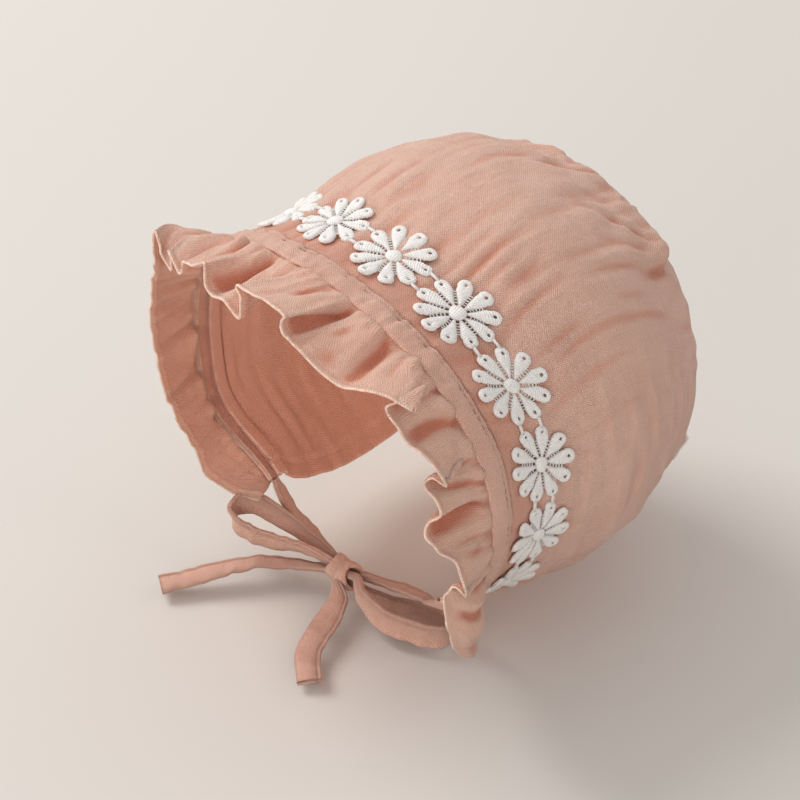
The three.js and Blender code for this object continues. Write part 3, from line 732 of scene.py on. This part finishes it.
def ruffle_cloth():
    last = len(RUFFLE_FOLDS) - 1
    column = np.linspace(0, last, last * RUFFLE_STEPS + 1)
    reach = spline(RUFFLE_FOLDS[:, 1:], column)
    degrees = np.interp(column, np.arange(last + 1), RUFFLE_FOLDS[:, 0])
    seam = section_points(degrees[:, None], [SEAM])[:, 0]
    share = 1 - np.linspace(0, 1, RUFFLE_ROWS)[:, None] ** 1.25
    forward = share * reach[:, 0] - RUFFLE_TUCK * (1 - share)
    belly = (8 * ramp(degrees, 97, 114) + 6 * lump(degrees, -46, 20)) * np.sin(np.pi * share)
    out = share**1.1 * reach[:, 1] + belly - 0.5 * (1 - ramp(share, 0, 0.1))
    aside = share**1.1 * reach[:, 2]
    grid = seam + out[..., None] * outward_at(degrees) + aside[..., None] * along_at(degrees)
    grid = grid + forward[..., None] * FACE
    run = lengths(seam, 0)[None]
    width = lengths(grid[::-1], 0)[::-1]
    normals = grid_normals(grid)
    gathered = (1 - share) ** 1.3 * ramp(share, 0.0, 0.12)
    swell = 2.4 * gathered * noise(run / 3.4, share * 1.2, 10)
    swell = swell + 0.7 * (1 - share) ** 0.5 * ramp(share, 0, 0.2) * noise(run / 1.5, share * 2, 12)
    swell = swell + 0.7 * noise(run / 2.8, width / 10, 13) * ramp(share, 0.1, 0.5)
    crease = sum(depth * lump(degrees, at, half) for at, depth, half in RUFFLE_CREASES)[None]
    swell = swell - crease * ramp(share, 0.02, 0.3) * (1 - 0.55 * ramp(share, 0.7, 1))
    calm = 1 - 0.75 * np.max([lump(degrees, tip, 5) for tip in RUFFLE_TIPS], axis=0)
    swell = swell * calm
    to_edge = width[:1] - width
    swell = swell + 0.3 * (1 - ramp(to_edge, 0.2, 1.0)) - 0.3 * lump(to_edge, RUFFLE_HEM, 0.8)
    grid = grid + swell[..., None] * normals
    cloth = cloth_map(grid)
    # A paler colour along the free edge, and painted shade deep in the folds away from the edge; the inner
    # side takes a little painted shade too
    edge = -0.35 * (1 - ramp(to_edge, 0.1, 0.8))
    tone_and_fold_shade = edge + 0.95 * fold_depth(grid, 1.1, 5) * ramp(to_edge, 1, 4)
    points, faces, cloth, tone_and_painted_shade = cloth_shell(grid, cloth, RUFFLE_CLOTH, tone_and_fold_shade, 0.2 + edge, bead=0.6)
    return mesh_object("ruffle_cloth", points, faces, RUFFLE_MUSLIN, cloth, tone_and_painted_shade)


# Ties
TAPE_STEPS = 12
ROUTE_STEP = 0.02
TAPE_SECTION = np.array([
    # across the width, through the thickness
    (-1.0, 0.0), (-0.97, 0.3), (-0.85, 0.46), (-0.45, 0.5), (0.1, 0.5), (0.5, 0.46), (0.62, 0.36),
    (0.7, 0.2), (0.78, 0.4), (0.86, 0.55), (0.95, 0.45), (1.0, 0.12),
    (0.97, 0.0),
    (1.0, -0.12), (0.95, -0.45), (0.86, -0.55), (0.78, -0.4), (0.7, -0.2),
    (0.62, -0.36), (0.5, -0.46), (0.1, -0.5), (-0.45, -0.5), (-0.85, -0.46), (-0.97, -0.3),
])


def turned(vectors, axis, angle):
    """Vectors turned about unit axes by angles in radians."""
    cos, sin = np.cos(angle)[..., None], np.sin(angle)[..., None]
    lift = (vectors * axis).sum(axis=-1, keepdims=True)
    return vectors * cos + np.cross(axis, vectors) * sin + axis * lift * (1 - cos)


def outward_faces(points, faces):
    """The faces of a closed mesh, turned so that they point outwards."""
    a, b, c, d = (points[faces[:, k]] for k in range(4))
    volume = (np.cross(a, b) * c).sum() + (np.cross(a, c) * d).sum()
    return faces if volume > 0 else faces[:, ::-1]


def tube_faces(rings, around, closed=False):
    ring = np.arange(rings if closed else rings - 1)[:, None]
    spot = np.arange(around)[None]
    after, next_ring = (spot + 1) % around, (ring + 1) % rings
    here, beyond = ring * around, next_ring * around
    corners = np.broadcast_arrays(here + spot, here + after, beyond + after, beyond + spot)
    return np.stack(corners, axis=-1).reshape(-1, 4)


def tape_frames(route, place):
    """Middle, direction across and direction out of the face of a tape, at places along its route."""
    line, tilt = route[:, :3], route[:, 3]
    marks = np.arange(len(route), dtype=float)

    def ahead_at(at):
        after = spline(line, np.minimum(at + ROUTE_STEP, marks[-1]))
        before = spline(line, np.maximum(at - ROUTE_STEP, 0))
        return unit(after - before)

    ahead, marked = ahead_at(place), ahead_at(marks)
    level = unit(np.cross(marked, UP))
    known = ~np.isnan(tilt)
    width = turned(level[known], marked[known], np.radians(tilt[known]))
    for i in range(1, len(width)):
        if width[i] @ width[i - 1] < 0:
            width[i] = -width[i]
    across = np.stack([np.interp(place, marks[known], width[:, k]) for k in range(3)], axis=-1)
    across = unit(across - (across * ahead).sum(axis=-1, keepdims=True) * ahead)
    return spline(line, place), across, np.cross(across, ahead)


def tape_piece(name, route, seed):
    """A tape along its route, with its middle line and its length in metres."""
    count = len(route)
    place = np.linspace(0, count - 1, (count - 1) * TAPE_STEPS + 1)
    middle, across, face = tape_frames(route, place)
    run = lengths(middle, 0)
    share = np.interp(place, np.arange(count), route[:, 4])
    half = TAPE_WIDTH / 2 * share
    thick = TAPE_THICKNESS * (1 + 0.5 * (1 - share))
    hem = run[-1] - run
    thick = thick * (1 + 0.45 * (1 - ramp(hem, 5.6, 6.6)) - 0.45 * lump(hem, 7.0, 1.1))
    x, y = TAPE_SECTION[:, 0], TAPE_SECTION[:, 1]
    ripple = 0.45 * noise(run[:, None] / 2.4, x[None] * 1.2, seed) * share[:, None]
    ripple = ripple + 0.5 * noise(run[:, None] / 9, x[None] * 0.8, seed + 2) * share[:, None]
    offset_x = half[:, None] * x[None] + 0.25 * noise(run[:, None] / 3, np.sign(x)[None], seed + 1)
    offset_y = thick[:, None] * y[None] + ripple
    rings = middle[:, None] + offset_x[..., None] * across[:, None] + offset_y[..., None] * face[:, None]
    around = len(TAPE_SECTION)
    points = rings.reshape(-1, 3)
    faces = tube_faces(len(place), around)
    start, end = rings[0].mean(axis=0), rings[-1].mean(axis=0)
    caps = []
    for centre, first in ((start, 0), (end, (len(place) - 1) * around)):
        points = np.concatenate([points, centre[None]])
        spot = first + np.arange(around)
        hub = np.full(around, len(points) - 1)
        order = [spot, np.roll(spot, -1)] if first else [np.roll(spot, -1), spot]
        caps.append(np.stack([*order, hub], axis=1))
    sides = outward_faces(points, faces)
    ends = [cap[:, ::-1] if sides is faces else cap for cap in caps]
    all_faces = [*sides.tolist(), *ends[0].tolist(), *ends[1].tolist()]
    section_steps = np.diff(TAPE_SECTION, axis=0, append=TAPE_SECTION[:1])
    girth = np.cumsum(np.linalg.norm(section_steps, axis=1)) * TAPE_WIDTH / 2
    cloth = np.stack(np.broadcast_arrays(run[:, None], girth[None]), axis=-1).reshape(-1, 2)
    cloth = np.concatenate([cloth, [(0, 0), (run[-1], 0)]])
    made = mesh_object(name, points, all_faces, TAPE_MUSLIN, cloth, np.full(len(points), 0.15))
    return made, (middle + HEAD_CENTRE) * MM, run[-1] * MM


KNOT_RINGS = (
    {"offset": -2.6, "lean": 24, "turn": 8, "width": 6.4, "swell": 0.0},
    {"offset": 2.4, "lean": -20, "turn": -10, "width": 6.0, "swell": 0.3},
)
KNOT_STEPS = 64
KNOT_SECTION = np.array([
    # along the bow, out from the bow
    (-1.0, 0.0), (-0.94, 0.4), (-0.7, 0.62), (-0.3, 0.78), (0.0, 0.7), (0.3, 0.8), (0.7, 0.62), (0.94, 0.4),
    (1.0, 0.0), (0.8, -0.3), (0.0, -0.36), (-0.8, -0.3),
])


def bow_knot():
    """Two turns of tape drawn tight round the middle of the bow."""
    all_points, all_faces, all_cloth = [], [], []
    turn = np.linspace(0, 2 * math.pi, KNOT_STEPS, endpoint=False)
    for number, ring in enumerate(KNOT_RINGS):
        radius_y = KNOT["width"] / 2 - 1.2 + ring["swell"]
        radius_z = KNOT["height"] / 2 - 1.2 + ring["swell"]
        out = np.stack([0 * turn, np.cos(turn), np.sin(turn)], axis=-1)
        middle = np.stack([0 * turn, radius_y * np.cos(turn), radius_z * np.sin(turn)], axis=-1)
        pinch = 1 + 0.12 * np.sin(2 * turn + number)
        x = KNOT_SECTION[:, 0] * ring["width"] / 2
        y = KNOT_SECTION[:, 1] * 1.7
        crumple = 0.25 * noise(turn[:, None] * 3.2 + 9 * number, x[None] / 1.6, 30 + number)
        side = np.array([1.0, 0.0, 0.0])
        rings = middle[:, None] + (x[None] * pinch[:, None])[..., None] * side
        rings = rings + (y[None] + crumple)[..., None] * out[:, None]
        lean, tilt = math.radians(ring["lean"]), math.radians(ring["turn"])
        spin = Matrix.Rotation(tilt, 3, "Z") @ Matrix.Rotation(lean, 3, "Y")
        points = rings.reshape(-1, 3) @ np.array(spin).T
        points = points + np.array(KNOT["centre"]) + side * ring["offset"]
        faces = outward_faces(points, tube_faces(KNOT_STEPS, len(KNOT_SECTION), closed=True))
        all_faces.append(faces + sum(len(p) for p in all_points))
        all_points.append(points)
        spread = np.stack(np.broadcast_arrays(turn[:, None] * 4, x[None]), axis=-1)
        all_cloth.append(spread.reshape(-1, 2))
    points = np.concatenate(all_points)
    cloth = np.concatenate(all_cloth)
    tone_and_painted_shade = np.full(len(points), 0.15)
    return mesh_object("bow_knot_wraps", points, np.concatenate(all_faces), TAPE_MUSLIN, cloth, tone_and_painted_shade)


# Geometry Nodes shared by the trims
def node_tree(name, inputs):
    geometry = {"Geometry": "Geometry"}
    return new_group(name, {**geometry, **inputs}, geometry, "GeometryNodeTree")


def grown_mesh(name, tree, values, base=None):
    """The plain mesh that a tree grows on a base object, with the tree's inputs set by name."""
    if base is None:
        base = linked(name + "_base", bpy.data.meshes.new(name + "_base"))
    modifier = base.modifiers.new("grow", "NODES")
    modifier.node_group = tree
    for item in tree.interface.items_tree:
        if item.in_out == "INPUT" and item.name in values:
            modifier[item.identifier] = values[item.name]
    graph = bpy.context.evaluated_depsgraph_get()
    mesh = bpy.data.meshes.new_from_object(base.evaluated_get(graph))
    mesh.name = name
    base.modifiers.remove(modifier)
    bpy.data.objects.remove(base)
    return linked(name, mesh)


def stitch_tree():
    """Short stitches laid end to end along a line, each a slim pod of thread."""
    tree, given, made = node_tree(
        "stitch run",
        {"Stitch pitch": "Float", "Stitch length": "Float", "Thread radius": "Float", "Thread": "Material"},
    )
    line = add(tree, "GeometryNodeMeshToCurve", None, {"Mesh": given["Geometry"]})
    spots = add(
        tree, "GeometryNodeResampleCurve", {"mode": "LENGTH"},
        {"Curve": line.outputs[0], "Length": given["Stitch pitch"]},
    )
    pod = add(tree, "GeometryNodeMeshUVSphere", None, {"Segments": 6, "Rings": 5, "Radius": 1.0})
    size = add(
        tree, "ShaderNodeCombineXYZ", None,
        {0: given["Thread radius"], 1: given["Thread radius"], 2: given["Stitch length"]},
    )
    thread = add(
        tree, "GeometryNodeTransform", None, {"Geometry": pod.outputs["Mesh"], "Scale": size.outputs[0]},
    )
    tangent = add(tree, "GeometryNodeInputTangent")
    facing = add(tree, "FunctionNodeAlignRotationToVector", {"axis": "Z"}, {"Vector": tangent.outputs[0]})
    laid = add(
        tree, "GeometryNodeInstanceOnPoints", None,
        {"Points": spots.outputs[0], "Instance": thread.outputs[0], "Rotation": facing.outputs[0]},
    )
    real = add(tree, "GeometryNodeRealizeInstances", None, {"Geometry": laid.outputs[0]})
    finished = add(
        tree, "GeometryNodeSetMaterial", None, {"Geometry": real.outputs[0], "Material": given["Thread"]},
    )
    tree.links.new(finished.outputs[0], made["Geometry"])
    return tree


STITCH_TREE = stitch_tree()


def mesh_points(mesh):
    points = np.empty(len(mesh.vertices) * 3)
    mesh.vertices.foreach_get("co", points)
    return points.reshape(-1, 3)


def stitch_run(name, paths, pitch=2.6, length=1.9, radius=0.22):
    """Stitches along one or more lines of points in millimetres."""
    mesh = bpy.data.meshes.new(name + "_line")
    points, edges = [], []
    for path in paths:
        first = len(points)
        points += ((np.asarray(path) + HEAD_CENTRE) * MM).tolist()
        edges += [(first + i, first + i + 1) for i in range(len(path) - 1)]
    mesh.from_pydata(points, edges, [])
    base = linked(name + "_line", mesh)
    values = {
        "Stitch pitch": pitch * MM,
        "Stitch length": length / 2 * MM,
        "Thread radius": radius * MM,
        "Thread": SHADED_STITCH_THREAD,
    }
    made = grown_mesh(name, STITCH_TREE, values, base)
    made.data.shade_smooth()
    set_cloth_map(made.data, mesh_points(made.data)[:, :2] / MM)
    return made


# Lace: flat daisies in a row, then laid along the crown
PETAL_SPOTS = 26
PETAL_LEVELS = (0.0, 0.12, 0.3, 0.55, 0.8, 1.0)
PETAL = {
    "root": 2.0, "tip_centre": 9.85, "tip_radius": 2.3, "gap": 0.45, "hole_at": 10.2, "hole_radius": 0.5,
    "height": 1.05, "base": 0.35,
}
HUB_RADIUS = 2.5
HUB_HEIGHT = 1.6
LADDER_RADII = (3.7, 4.7, 5.7, 6.7, 7.6)


def petal_outline():
    """The edge of a petal from its root round its tip, in the daisy's plane."""
    spread = math.tan(math.pi / PETAL_COUNT)
    side = np.linspace(PETAL["root"], PETAL["tip_centre"] - 0.9, 9)
    wide = np.minimum(spread * side - PETAL["gap"], PETAL["tip_radius"])
    turn = np.linspace(-1.0, 1.0, PETAL_SPOTS - 16) * math.radians(112)
    tip_x = PETAL["tip_centre"] + PETAL["tip_radius"] * np.cos(turn)
    tip_y = PETAL["tip_radius"] * np.sin(turn)
    lower = np.stack([side[:-1], -wide[:-1]], axis=-1)
    tip = np.stack([tip_x, tip_y], axis=-1)
    upper = np.stack([side[:-1], wide[:-1]], axis=-1)[::-1]
    return np.concatenate([lower, tip, upper])


def petal_mesh():
    """One petal: a raised satin-stitched teardrop with a small eyelet near its tip."""
    outline = petal_outline()
    count = len(outline)
    middle = np.array([PETAL["hole_at"], 0.0])
    aim = unit(outline - middle)
    eyelet = middle + PETAL["hole_radius"] * aim
    rings = []
    for level in PETAL_LEVELS:
        flat = eyelet * (1 - level) + outline * level
        room = np.clip(np.min(np.linalg.norm(flat[:, None] - outline[None], axis=-1), axis=1) / 1.5, 0, 1)
        rise = PETAL["base"] + (PETAL["height"] - PETAL["base"]) * np.sqrt(1 - (1 - room) ** 2)
        rise = rise - 0.45 * (level == 0.0)
        rings.append(np.column_stack([flat, rise]))
    rings.append(np.column_stack([outline, np.zeros(count)]))
    rings.append(np.column_stack([eyelet, np.zeros(count)]))
    points = np.concatenate(rings)
    faces = tube_faces(len(rings), count, closed=True)
    return points, outward_faces(points, faces), points[:, :2]


def hub_mesh():
    """The raised button in the middle of a daisy."""
    around, rise = 20, np.radians([0, 18, 38, 58, 76])
    turn = np.linspace(0, 2 * math.pi, around, endpoint=False)
    rings = [np.column_stack([HUB_RADIUS * np.cos(turn), HUB_RADIUS * np.sin(turn), 0 * turn])]
    for angle in rise:
        radius = HUB_RADIUS * math.cos(angle)
        height = 0.5 + (HUB_HEIGHT - 0.5) * math.sin(angle)
        rings.append(np.column_stack([radius * np.cos(turn), radius * np.sin(turn), 0 * turn + height]))
    points = np.concatenate(rings)
    sides = tube_faces(len(rings), around)
    spot = np.arange(around)
    caps = [spot[::-1].tolist(), (spot + len(points) - around).tolist()]
    return points, [*sides.tolist(), *caps], points[:, :2]


def bar_mesh(length, radius):
    """A short thread bar along y, low and round."""
    turn = np.linspace(0, 2 * math.pi, 6, endpoint=False)
    ring = np.column_stack([radius * np.cos(turn), 0 * turn, 0.4 + radius * np.sin(turn)])
    points = np.concatenate([ring - [0, length / 2, 0], ring + [0, length / 2, 0]])
    sides = tube_faces(2, 6)
    caps = [list(range(6)), list(range(11, 5, -1))]
    return points, [*sides[:, ::-1].tolist(), *caps], points[:, [1, 0]]


def trim_part(name, parts):
    """A small mesh at the origin, one unit to the millimetre, for the tree to repeat."""
    points, faces, cloth = parts
    return mesh_object(name, np.asarray(points) / MM - HEAD_CENTRE, faces, LACE_THREAD, cloth)


def daisy_tree():
    """A row of daisies: petals and ladder bars turned round a hub, with a pair of links to the next."""
    tree, given, made = node_tree(
        "daisy chain",
        {
            "Petal": "Object", "Hub": "Object", "Ladder": "Object", "Link": "Object",
            "Petals": "Int", "Daisies": "Int", "Pitch": "Float", "Thread": "Material",
        },
    )

    def shape(name):
        return add(tree, "GeometryNodeObjectInfo", None, {"Object": given[name]}).outputs["Geometry"]

    def turned_round(name, offset):
        spots = add(tree, "GeometryNodePoints", None, {"Count": given["Petals"]})
        number = add(tree, "GeometryNodeInputIndex").outputs[0]
        step = sum_of(tree, "DIVIDE", 2 * math.pi, given["Petals"])
        turn = sum_of(tree, "MULTIPLY", sum_of(tree, "ADD", number, offset), step)
        spin = add(tree, "ShaderNodeCombineXYZ", None, {2: turn}).outputs[0]
        spin = add(tree, "FunctionNodeEulerToRotation", None, {0: spin}).outputs[0]
        return add(
            tree, "GeometryNodeInstanceOnPoints", None,
            {"Points": spots.outputs[0], "Instance": shape(name), "Rotation": spin},
        ).outputs[0]

    def row(geometry, count):
        offset = add(tree, "ShaderNodeCombineXYZ", None, {0: given["Pitch"]}).outputs[0]
        line = add(tree, "GeometryNodeMeshLine", None, {"Count": count, "Offset": offset})
        return add(
            tree, "GeometryNodeInstanceOnPoints", None,
            {"Points": line.outputs[0], "Instance": geometry},
        ).outputs[0]

    def joined(*parts):
        node = tree.nodes.new("GeometryNodeJoinGeometry")
        for part in parts:
            tree.links.new(part, node.inputs[0])
        return node.outputs[0]

    daisy = joined(turned_round("Petal", 0.5), turned_round("Ladder", 0.0), shape("Hub"))
    daisy = add(tree, "GeometryNodeGeometryToInstance", None, {"Geometry": daisy}).outputs[0]
    fewer = sum_of(tree, "SUBTRACT", given["Daisies"], 1.0)
    chain = joined(row(daisy, given["Daisies"]), row(shape("Link"), fewer))
    real = add(tree, "GeometryNodeRealizeInstances", None, {"Geometry": chain}).outputs[0]
    finished = add(tree, "GeometryNodeSetMaterial", None, {"Geometry": real, "Material": given["Thread"]})
    tree.links.new(finished.outputs[0], made["Geometry"])
    return tree


def gathered_parts(*parts):
    """Several small meshes as one."""
    points, faces, cloth, first = [], [], [], 0
    for some_points, some_faces, some_cloth in parts:
        points.append(some_points)
        faces += [[int(i) + first for i in face] for face in some_faces]
        cloth.append(some_cloth)
        first += len(some_points)
    return np.concatenate(points), faces, np.concatenate(cloth)


def shifted(part, x, y, turn=0.0):
    """A small mesh turned in the daisy's plane, then moved."""
    points, faces, cloth = part
    cos, sin = math.cos(turn), math.sin(turn)
    spun = np.column_stack([
        cos * points[:, 0] - sin * points[:, 1],
        sin * points[:, 0] + cos * points[:, 1],
        points[:, 2],
    ])
    return spun + [x, y, 0], faces, cloth


def lace_ruler():
    """The share of the wrap at each length along the lace line, measured from the top."""
    shares = np.linspace(-1, 1, 801)
    line = section_points(shares[:, None] * WRAP[LACE_LINE], [LACE_LINE])[:, 0]
    run = lengths(line, 0)
    return shares, run - run[400]


def crown_spots(flat):
    """Places on the crown for lace points: along the lace line, across it and up from the cloth."""
    shares, run = lace_ruler()
    control = profiles(np.interp(flat[:, 0], run, shares))
    line = control[:, LACE_LINE]
    behind = np.linalg.norm(control[:, FORE_CROWN] - line, axis=-1)
    ahead = np.linalg.norm(control[:, STITCH_ROW] - line, axis=-1)
    place = LACE_LINE + np.where(flat[:, 1] < 0, flat[:, 1] / ahead, flat[:, 1] / behind)
    spots = spline(control, place)
    run_back = spline(control, place + 0.02) - spline(control, place - 0.02)
    aside = along_at(degrees_round(line))
    return spots + flat[:, 2:] * unit(np.cross(aside, run_back))


def daisy_lace():
    """The chain of daisies, grown flat in a row and then laid along the crown."""
    spread = math.pi / PETAL_COUNT
    ladder = gathered_parts(*[shifted(bar_mesh(1.1, 0.2), radius, 0) for radius in LADDER_RADII])
    tip = DAISY_RADIUS - 0.5
    link_length = DAISY_PITCH - 2 * tip * math.cos(spread)
    link = bar_mesh(link_length + 0.6, 0.55)
    middle = DAISY_PITCH / 2
    links = gathered_parts(*[
        shifted(link, middle, way * tip * math.sin(spread), math.pi / 2)
        for way in (-1, 1)
    ])
    shapes = {
        "Petal": trim_part("petal_shape", petal_mesh()),
        "Hub": trim_part("hub_shape", hub_mesh()),
        "Ladder": trim_part("ladder_shape", ladder),
        "Link": trim_part("link_shape", links),
    }
    values = {
        **shapes, "Petals": PETAL_COUNT, "Daisies": DAISY_COUNT, "Pitch": DAISY_PITCH,
        "Thread": LACE_THREAD,
    }
    made = grown_mesh("daisy_lace_trim", daisy_tree(), values)
    for part in shapes.values():
        bpy.data.objects.remove(part)
    mesh = made.data
    flat = mesh_points(mesh)
    flat[:, 0] -= (DAISY_COUNT - 1) / 2 * DAISY_PITCH
    wobble = [0.3 * noise(flat[:, 0] / 2.6 + 40 * k, flat[:, 1] / 2.6, 23 + k) for k in (0, 1)]
    flat[:, :2] += np.stack(wobble, axis=-1)
    flat[:, 2] += LACE_CLEARANCE + 0.18 * noise(flat[:, 0] / 2.2, flat[:, 1] / 2.2, 21)
    points = (crown_spots(flat) + HEAD_CENTRE) * MM
    mesh.vertices.foreach_set("co", points.astype(np.float32).ravel())
    mesh.update()
    mesh.shade_smooth()
    return made


# Label
LABEL = {"at": 116, "width": 12.0, "depth": 4.6, "thickness": 0.9, "lean": 58}


def label_tab():
    seam = section_points(np.array([float(LABEL["at"])]), [BACK_SEAM])[0]
    out = unit(seam)
    side = along_at(LABEL["at"])
    stand = turned(out[None], side[None], np.radians([LABEL["lean"]]))[0]
    face = np.cross(stand, side)
    u = np.linspace(-0.5, 0.5, 25)[None]
    v = np.linspace(1, 0, 13)[:, None]
    bow = 0.5 * np.sin(np.pi * v) * np.cos(np.pi * u) + 0.2 * noise(u * 3, v * 2, 22)
    grid = seam + 0.3 * out + (u * LABEL["width"])[..., None] * side
    grid = grid + (v * LABEL["depth"])[..., None] * stand + bow[..., None] * face
    cloth = np.stack(np.broadcast_arrays(v * LABEL["depth"], u * LABEL["width"]), axis=-1)
    points, faces, cloth, tone_and_painted_shade = cloth_shell(grid, cloth, LABEL["thickness"], 0.0, 0.0)
    return mesh_object("label_tab_tape", points, faces, LABEL_WEAVE, cloth)


# Build the pieces
crown = finish_piece(crown_cloth(), "muslin_pink", "crown")
back = finish_piece(back_cloth(), "muslin_pink", "back_panel")
band = finish_piece(band_cloth(), "muslin_pink", "front_band")
ruffle = finish_piece(ruffle_cloth(), "muslin_pink", "ruffle")
tie_left, left_path, left_length = tape_piece("tie_left", TIE_LEFT, 40)
tie_right, right_path, right_length = tape_piece("tie_right", TIE_RIGHT, 50)
finish_piece(tie_left, "muslin_pink", "tie_strap_left", "bow_loop_left", "tie_end_left")
finish_piece(tie_right, "muslin_pink", "tie_strap_right", "bow_loop_right", "tie_end_right")
knot = finish_piece(bow_knot(), "muslin_pink", "bow_knot")
lace = finish_piece(daisy_lace(), "lace_white", "daisy_lace")
label = finish_piece(label_tab(), "label_ivory", "label_tab")

STITCH_LIFT = 0.5
row_shares = np.linspace(-0.995, 0.995, 500)
row_line = spline(profiles(row_shares), np.full(len(row_shares), STITCH_AT))
row_line = row_line + STITCH_LIFT * unit(row_line)
# Band stitches in the darker thread, which paints the shade of the stitch holes
band_stitches = finish_piece(stitch_run("band_stitches", [row_line]), "muslin_pink")


# Floor, light and camera
def floor_material():
    material = bpy.data.materials.new("floor_paper")
    material.use_nodes = True
    tree = material.node_tree
    shader = tree.nodes["Principled BSDF"]
    place = add(tree, "ShaderNodeTexCoord").outputs["Object"]
    tone = noise_of(tree, place, 1.2, 2.0).outputs["Fac"]
    paper = mix_of(tree, tone, colour(208, 203, 198), colour(213, 209, 204))
    tree.links.new(paper, shader.inputs["Base Color"])
    shader.inputs["Roughness"].default_value = 0.8
    shader.inputs["Specular IOR Level"].default_value = 0.2
    return material


FLOOR_REACH = 3000.0
floor_corners = [
    (x * FLOOR_REACH, y * FLOOR_REACH, FLOOR_HEIGHT)
    for x, y in ((-1, -1), (1, -1), (1, 1), (-1, 1))
]
floor = mesh_object("floor", floor_corners, [(0, 1, 2, 3)], floor_material())

azimuth, elevation = math.radians(VIEW_AZIMUTH), math.radians(VIEW_ELEVATION)
toward = np.array([
    math.sin(azimuth) * math.cos(elevation), -math.cos(azimuth) * math.cos(elevation), math.sin(elevation),
])
right = np.array([math.cos(azimuth), math.sin(azimuth), 0.0])
above = np.cross(toward, right)


def aimed(obj, location, backward, level):
    """Puts an object at a place, looking along the opposite of backward."""
    lift = np.cross(backward, level)
    obj.matrix_world = Matrix([
        [level[0], lift[0], backward[0], location[0]],
        [level[1], lift[1], backward[1], location[1]],
        [level[2], lift[2], backward[2], location[2]],
        [0, 0, 0, 1],
    ])


camera_data = bpy.data.cameras.new("camera")
camera_data.sensor_width = SENSOR_WIDTH
camera_data.lens = FOCAL_PIXELS / PICTURE_SIDE * SENSOR_WIDTH
camera = linked("camera", camera_data)
aside = (PICTURE_SIDE / 2 - HEAD_PIXEL[0]) / FOCAL_PIXELS * VIEW_DISTANCE
lower = (HEAD_PIXEL[1] - PICTURE_SIDE / 2) / FOCAL_PIXELS * VIEW_DISTANCE
camera_place = (HEAD_CENTRE + VIEW_DISTANCE * toward + aside * right + lower * above) * MM
aimed(camera, camera_place, toward, right)
bpy.context.scene.camera = camera


def area_light(name, direction, distance, side, power, tint):
    """A square soft light at a distance in metres from the head, which the camera doesn't see."""
    data = bpy.data.lights.new(name, "AREA")
    data.size = side
    data.energy = power
    data.color = tint
    lamp = linked(name, data)
    lamp.visible_camera = False
    backward = unit(np.array(direction, float))
    aimed(lamp, HEAD_CENTRE * MM + backward * distance, backward, unit(np.cross(UP, backward)))


DAYLIGHT = (1.0, 0.98, 0.96)
area_light("window", (-0.69, -0.165, 0.707), distance=2.4, side=1.3, power=36.0, tint=DAYLIGHT)
area_light("bounce", (0.3, -0.95, 0.08), distance=1.3, side=0.9, power=7.0, tint=(1.0, 0.94, 0.88))
# A weak light inside the hollow, added to lift the shade on the far ruffle and inside the crown
area_light("inner_glow", (0.9, 0.4, 0.0), distance=0.02, side=0.07, power=0.03, tint=(1.0, 0.88, 0.74))
world = bpy.data.worlds.new("room")
bpy.context.scene.world = world
world.use_nodes = True
sky = world.node_tree.nodes["Background"].inputs
sky["Color"].default_value = (*DAYLIGHT, 1.0)
sky["Strength"].default_value = 0.70
bpy.context.scene.view_settings.view_transform = "Standard"
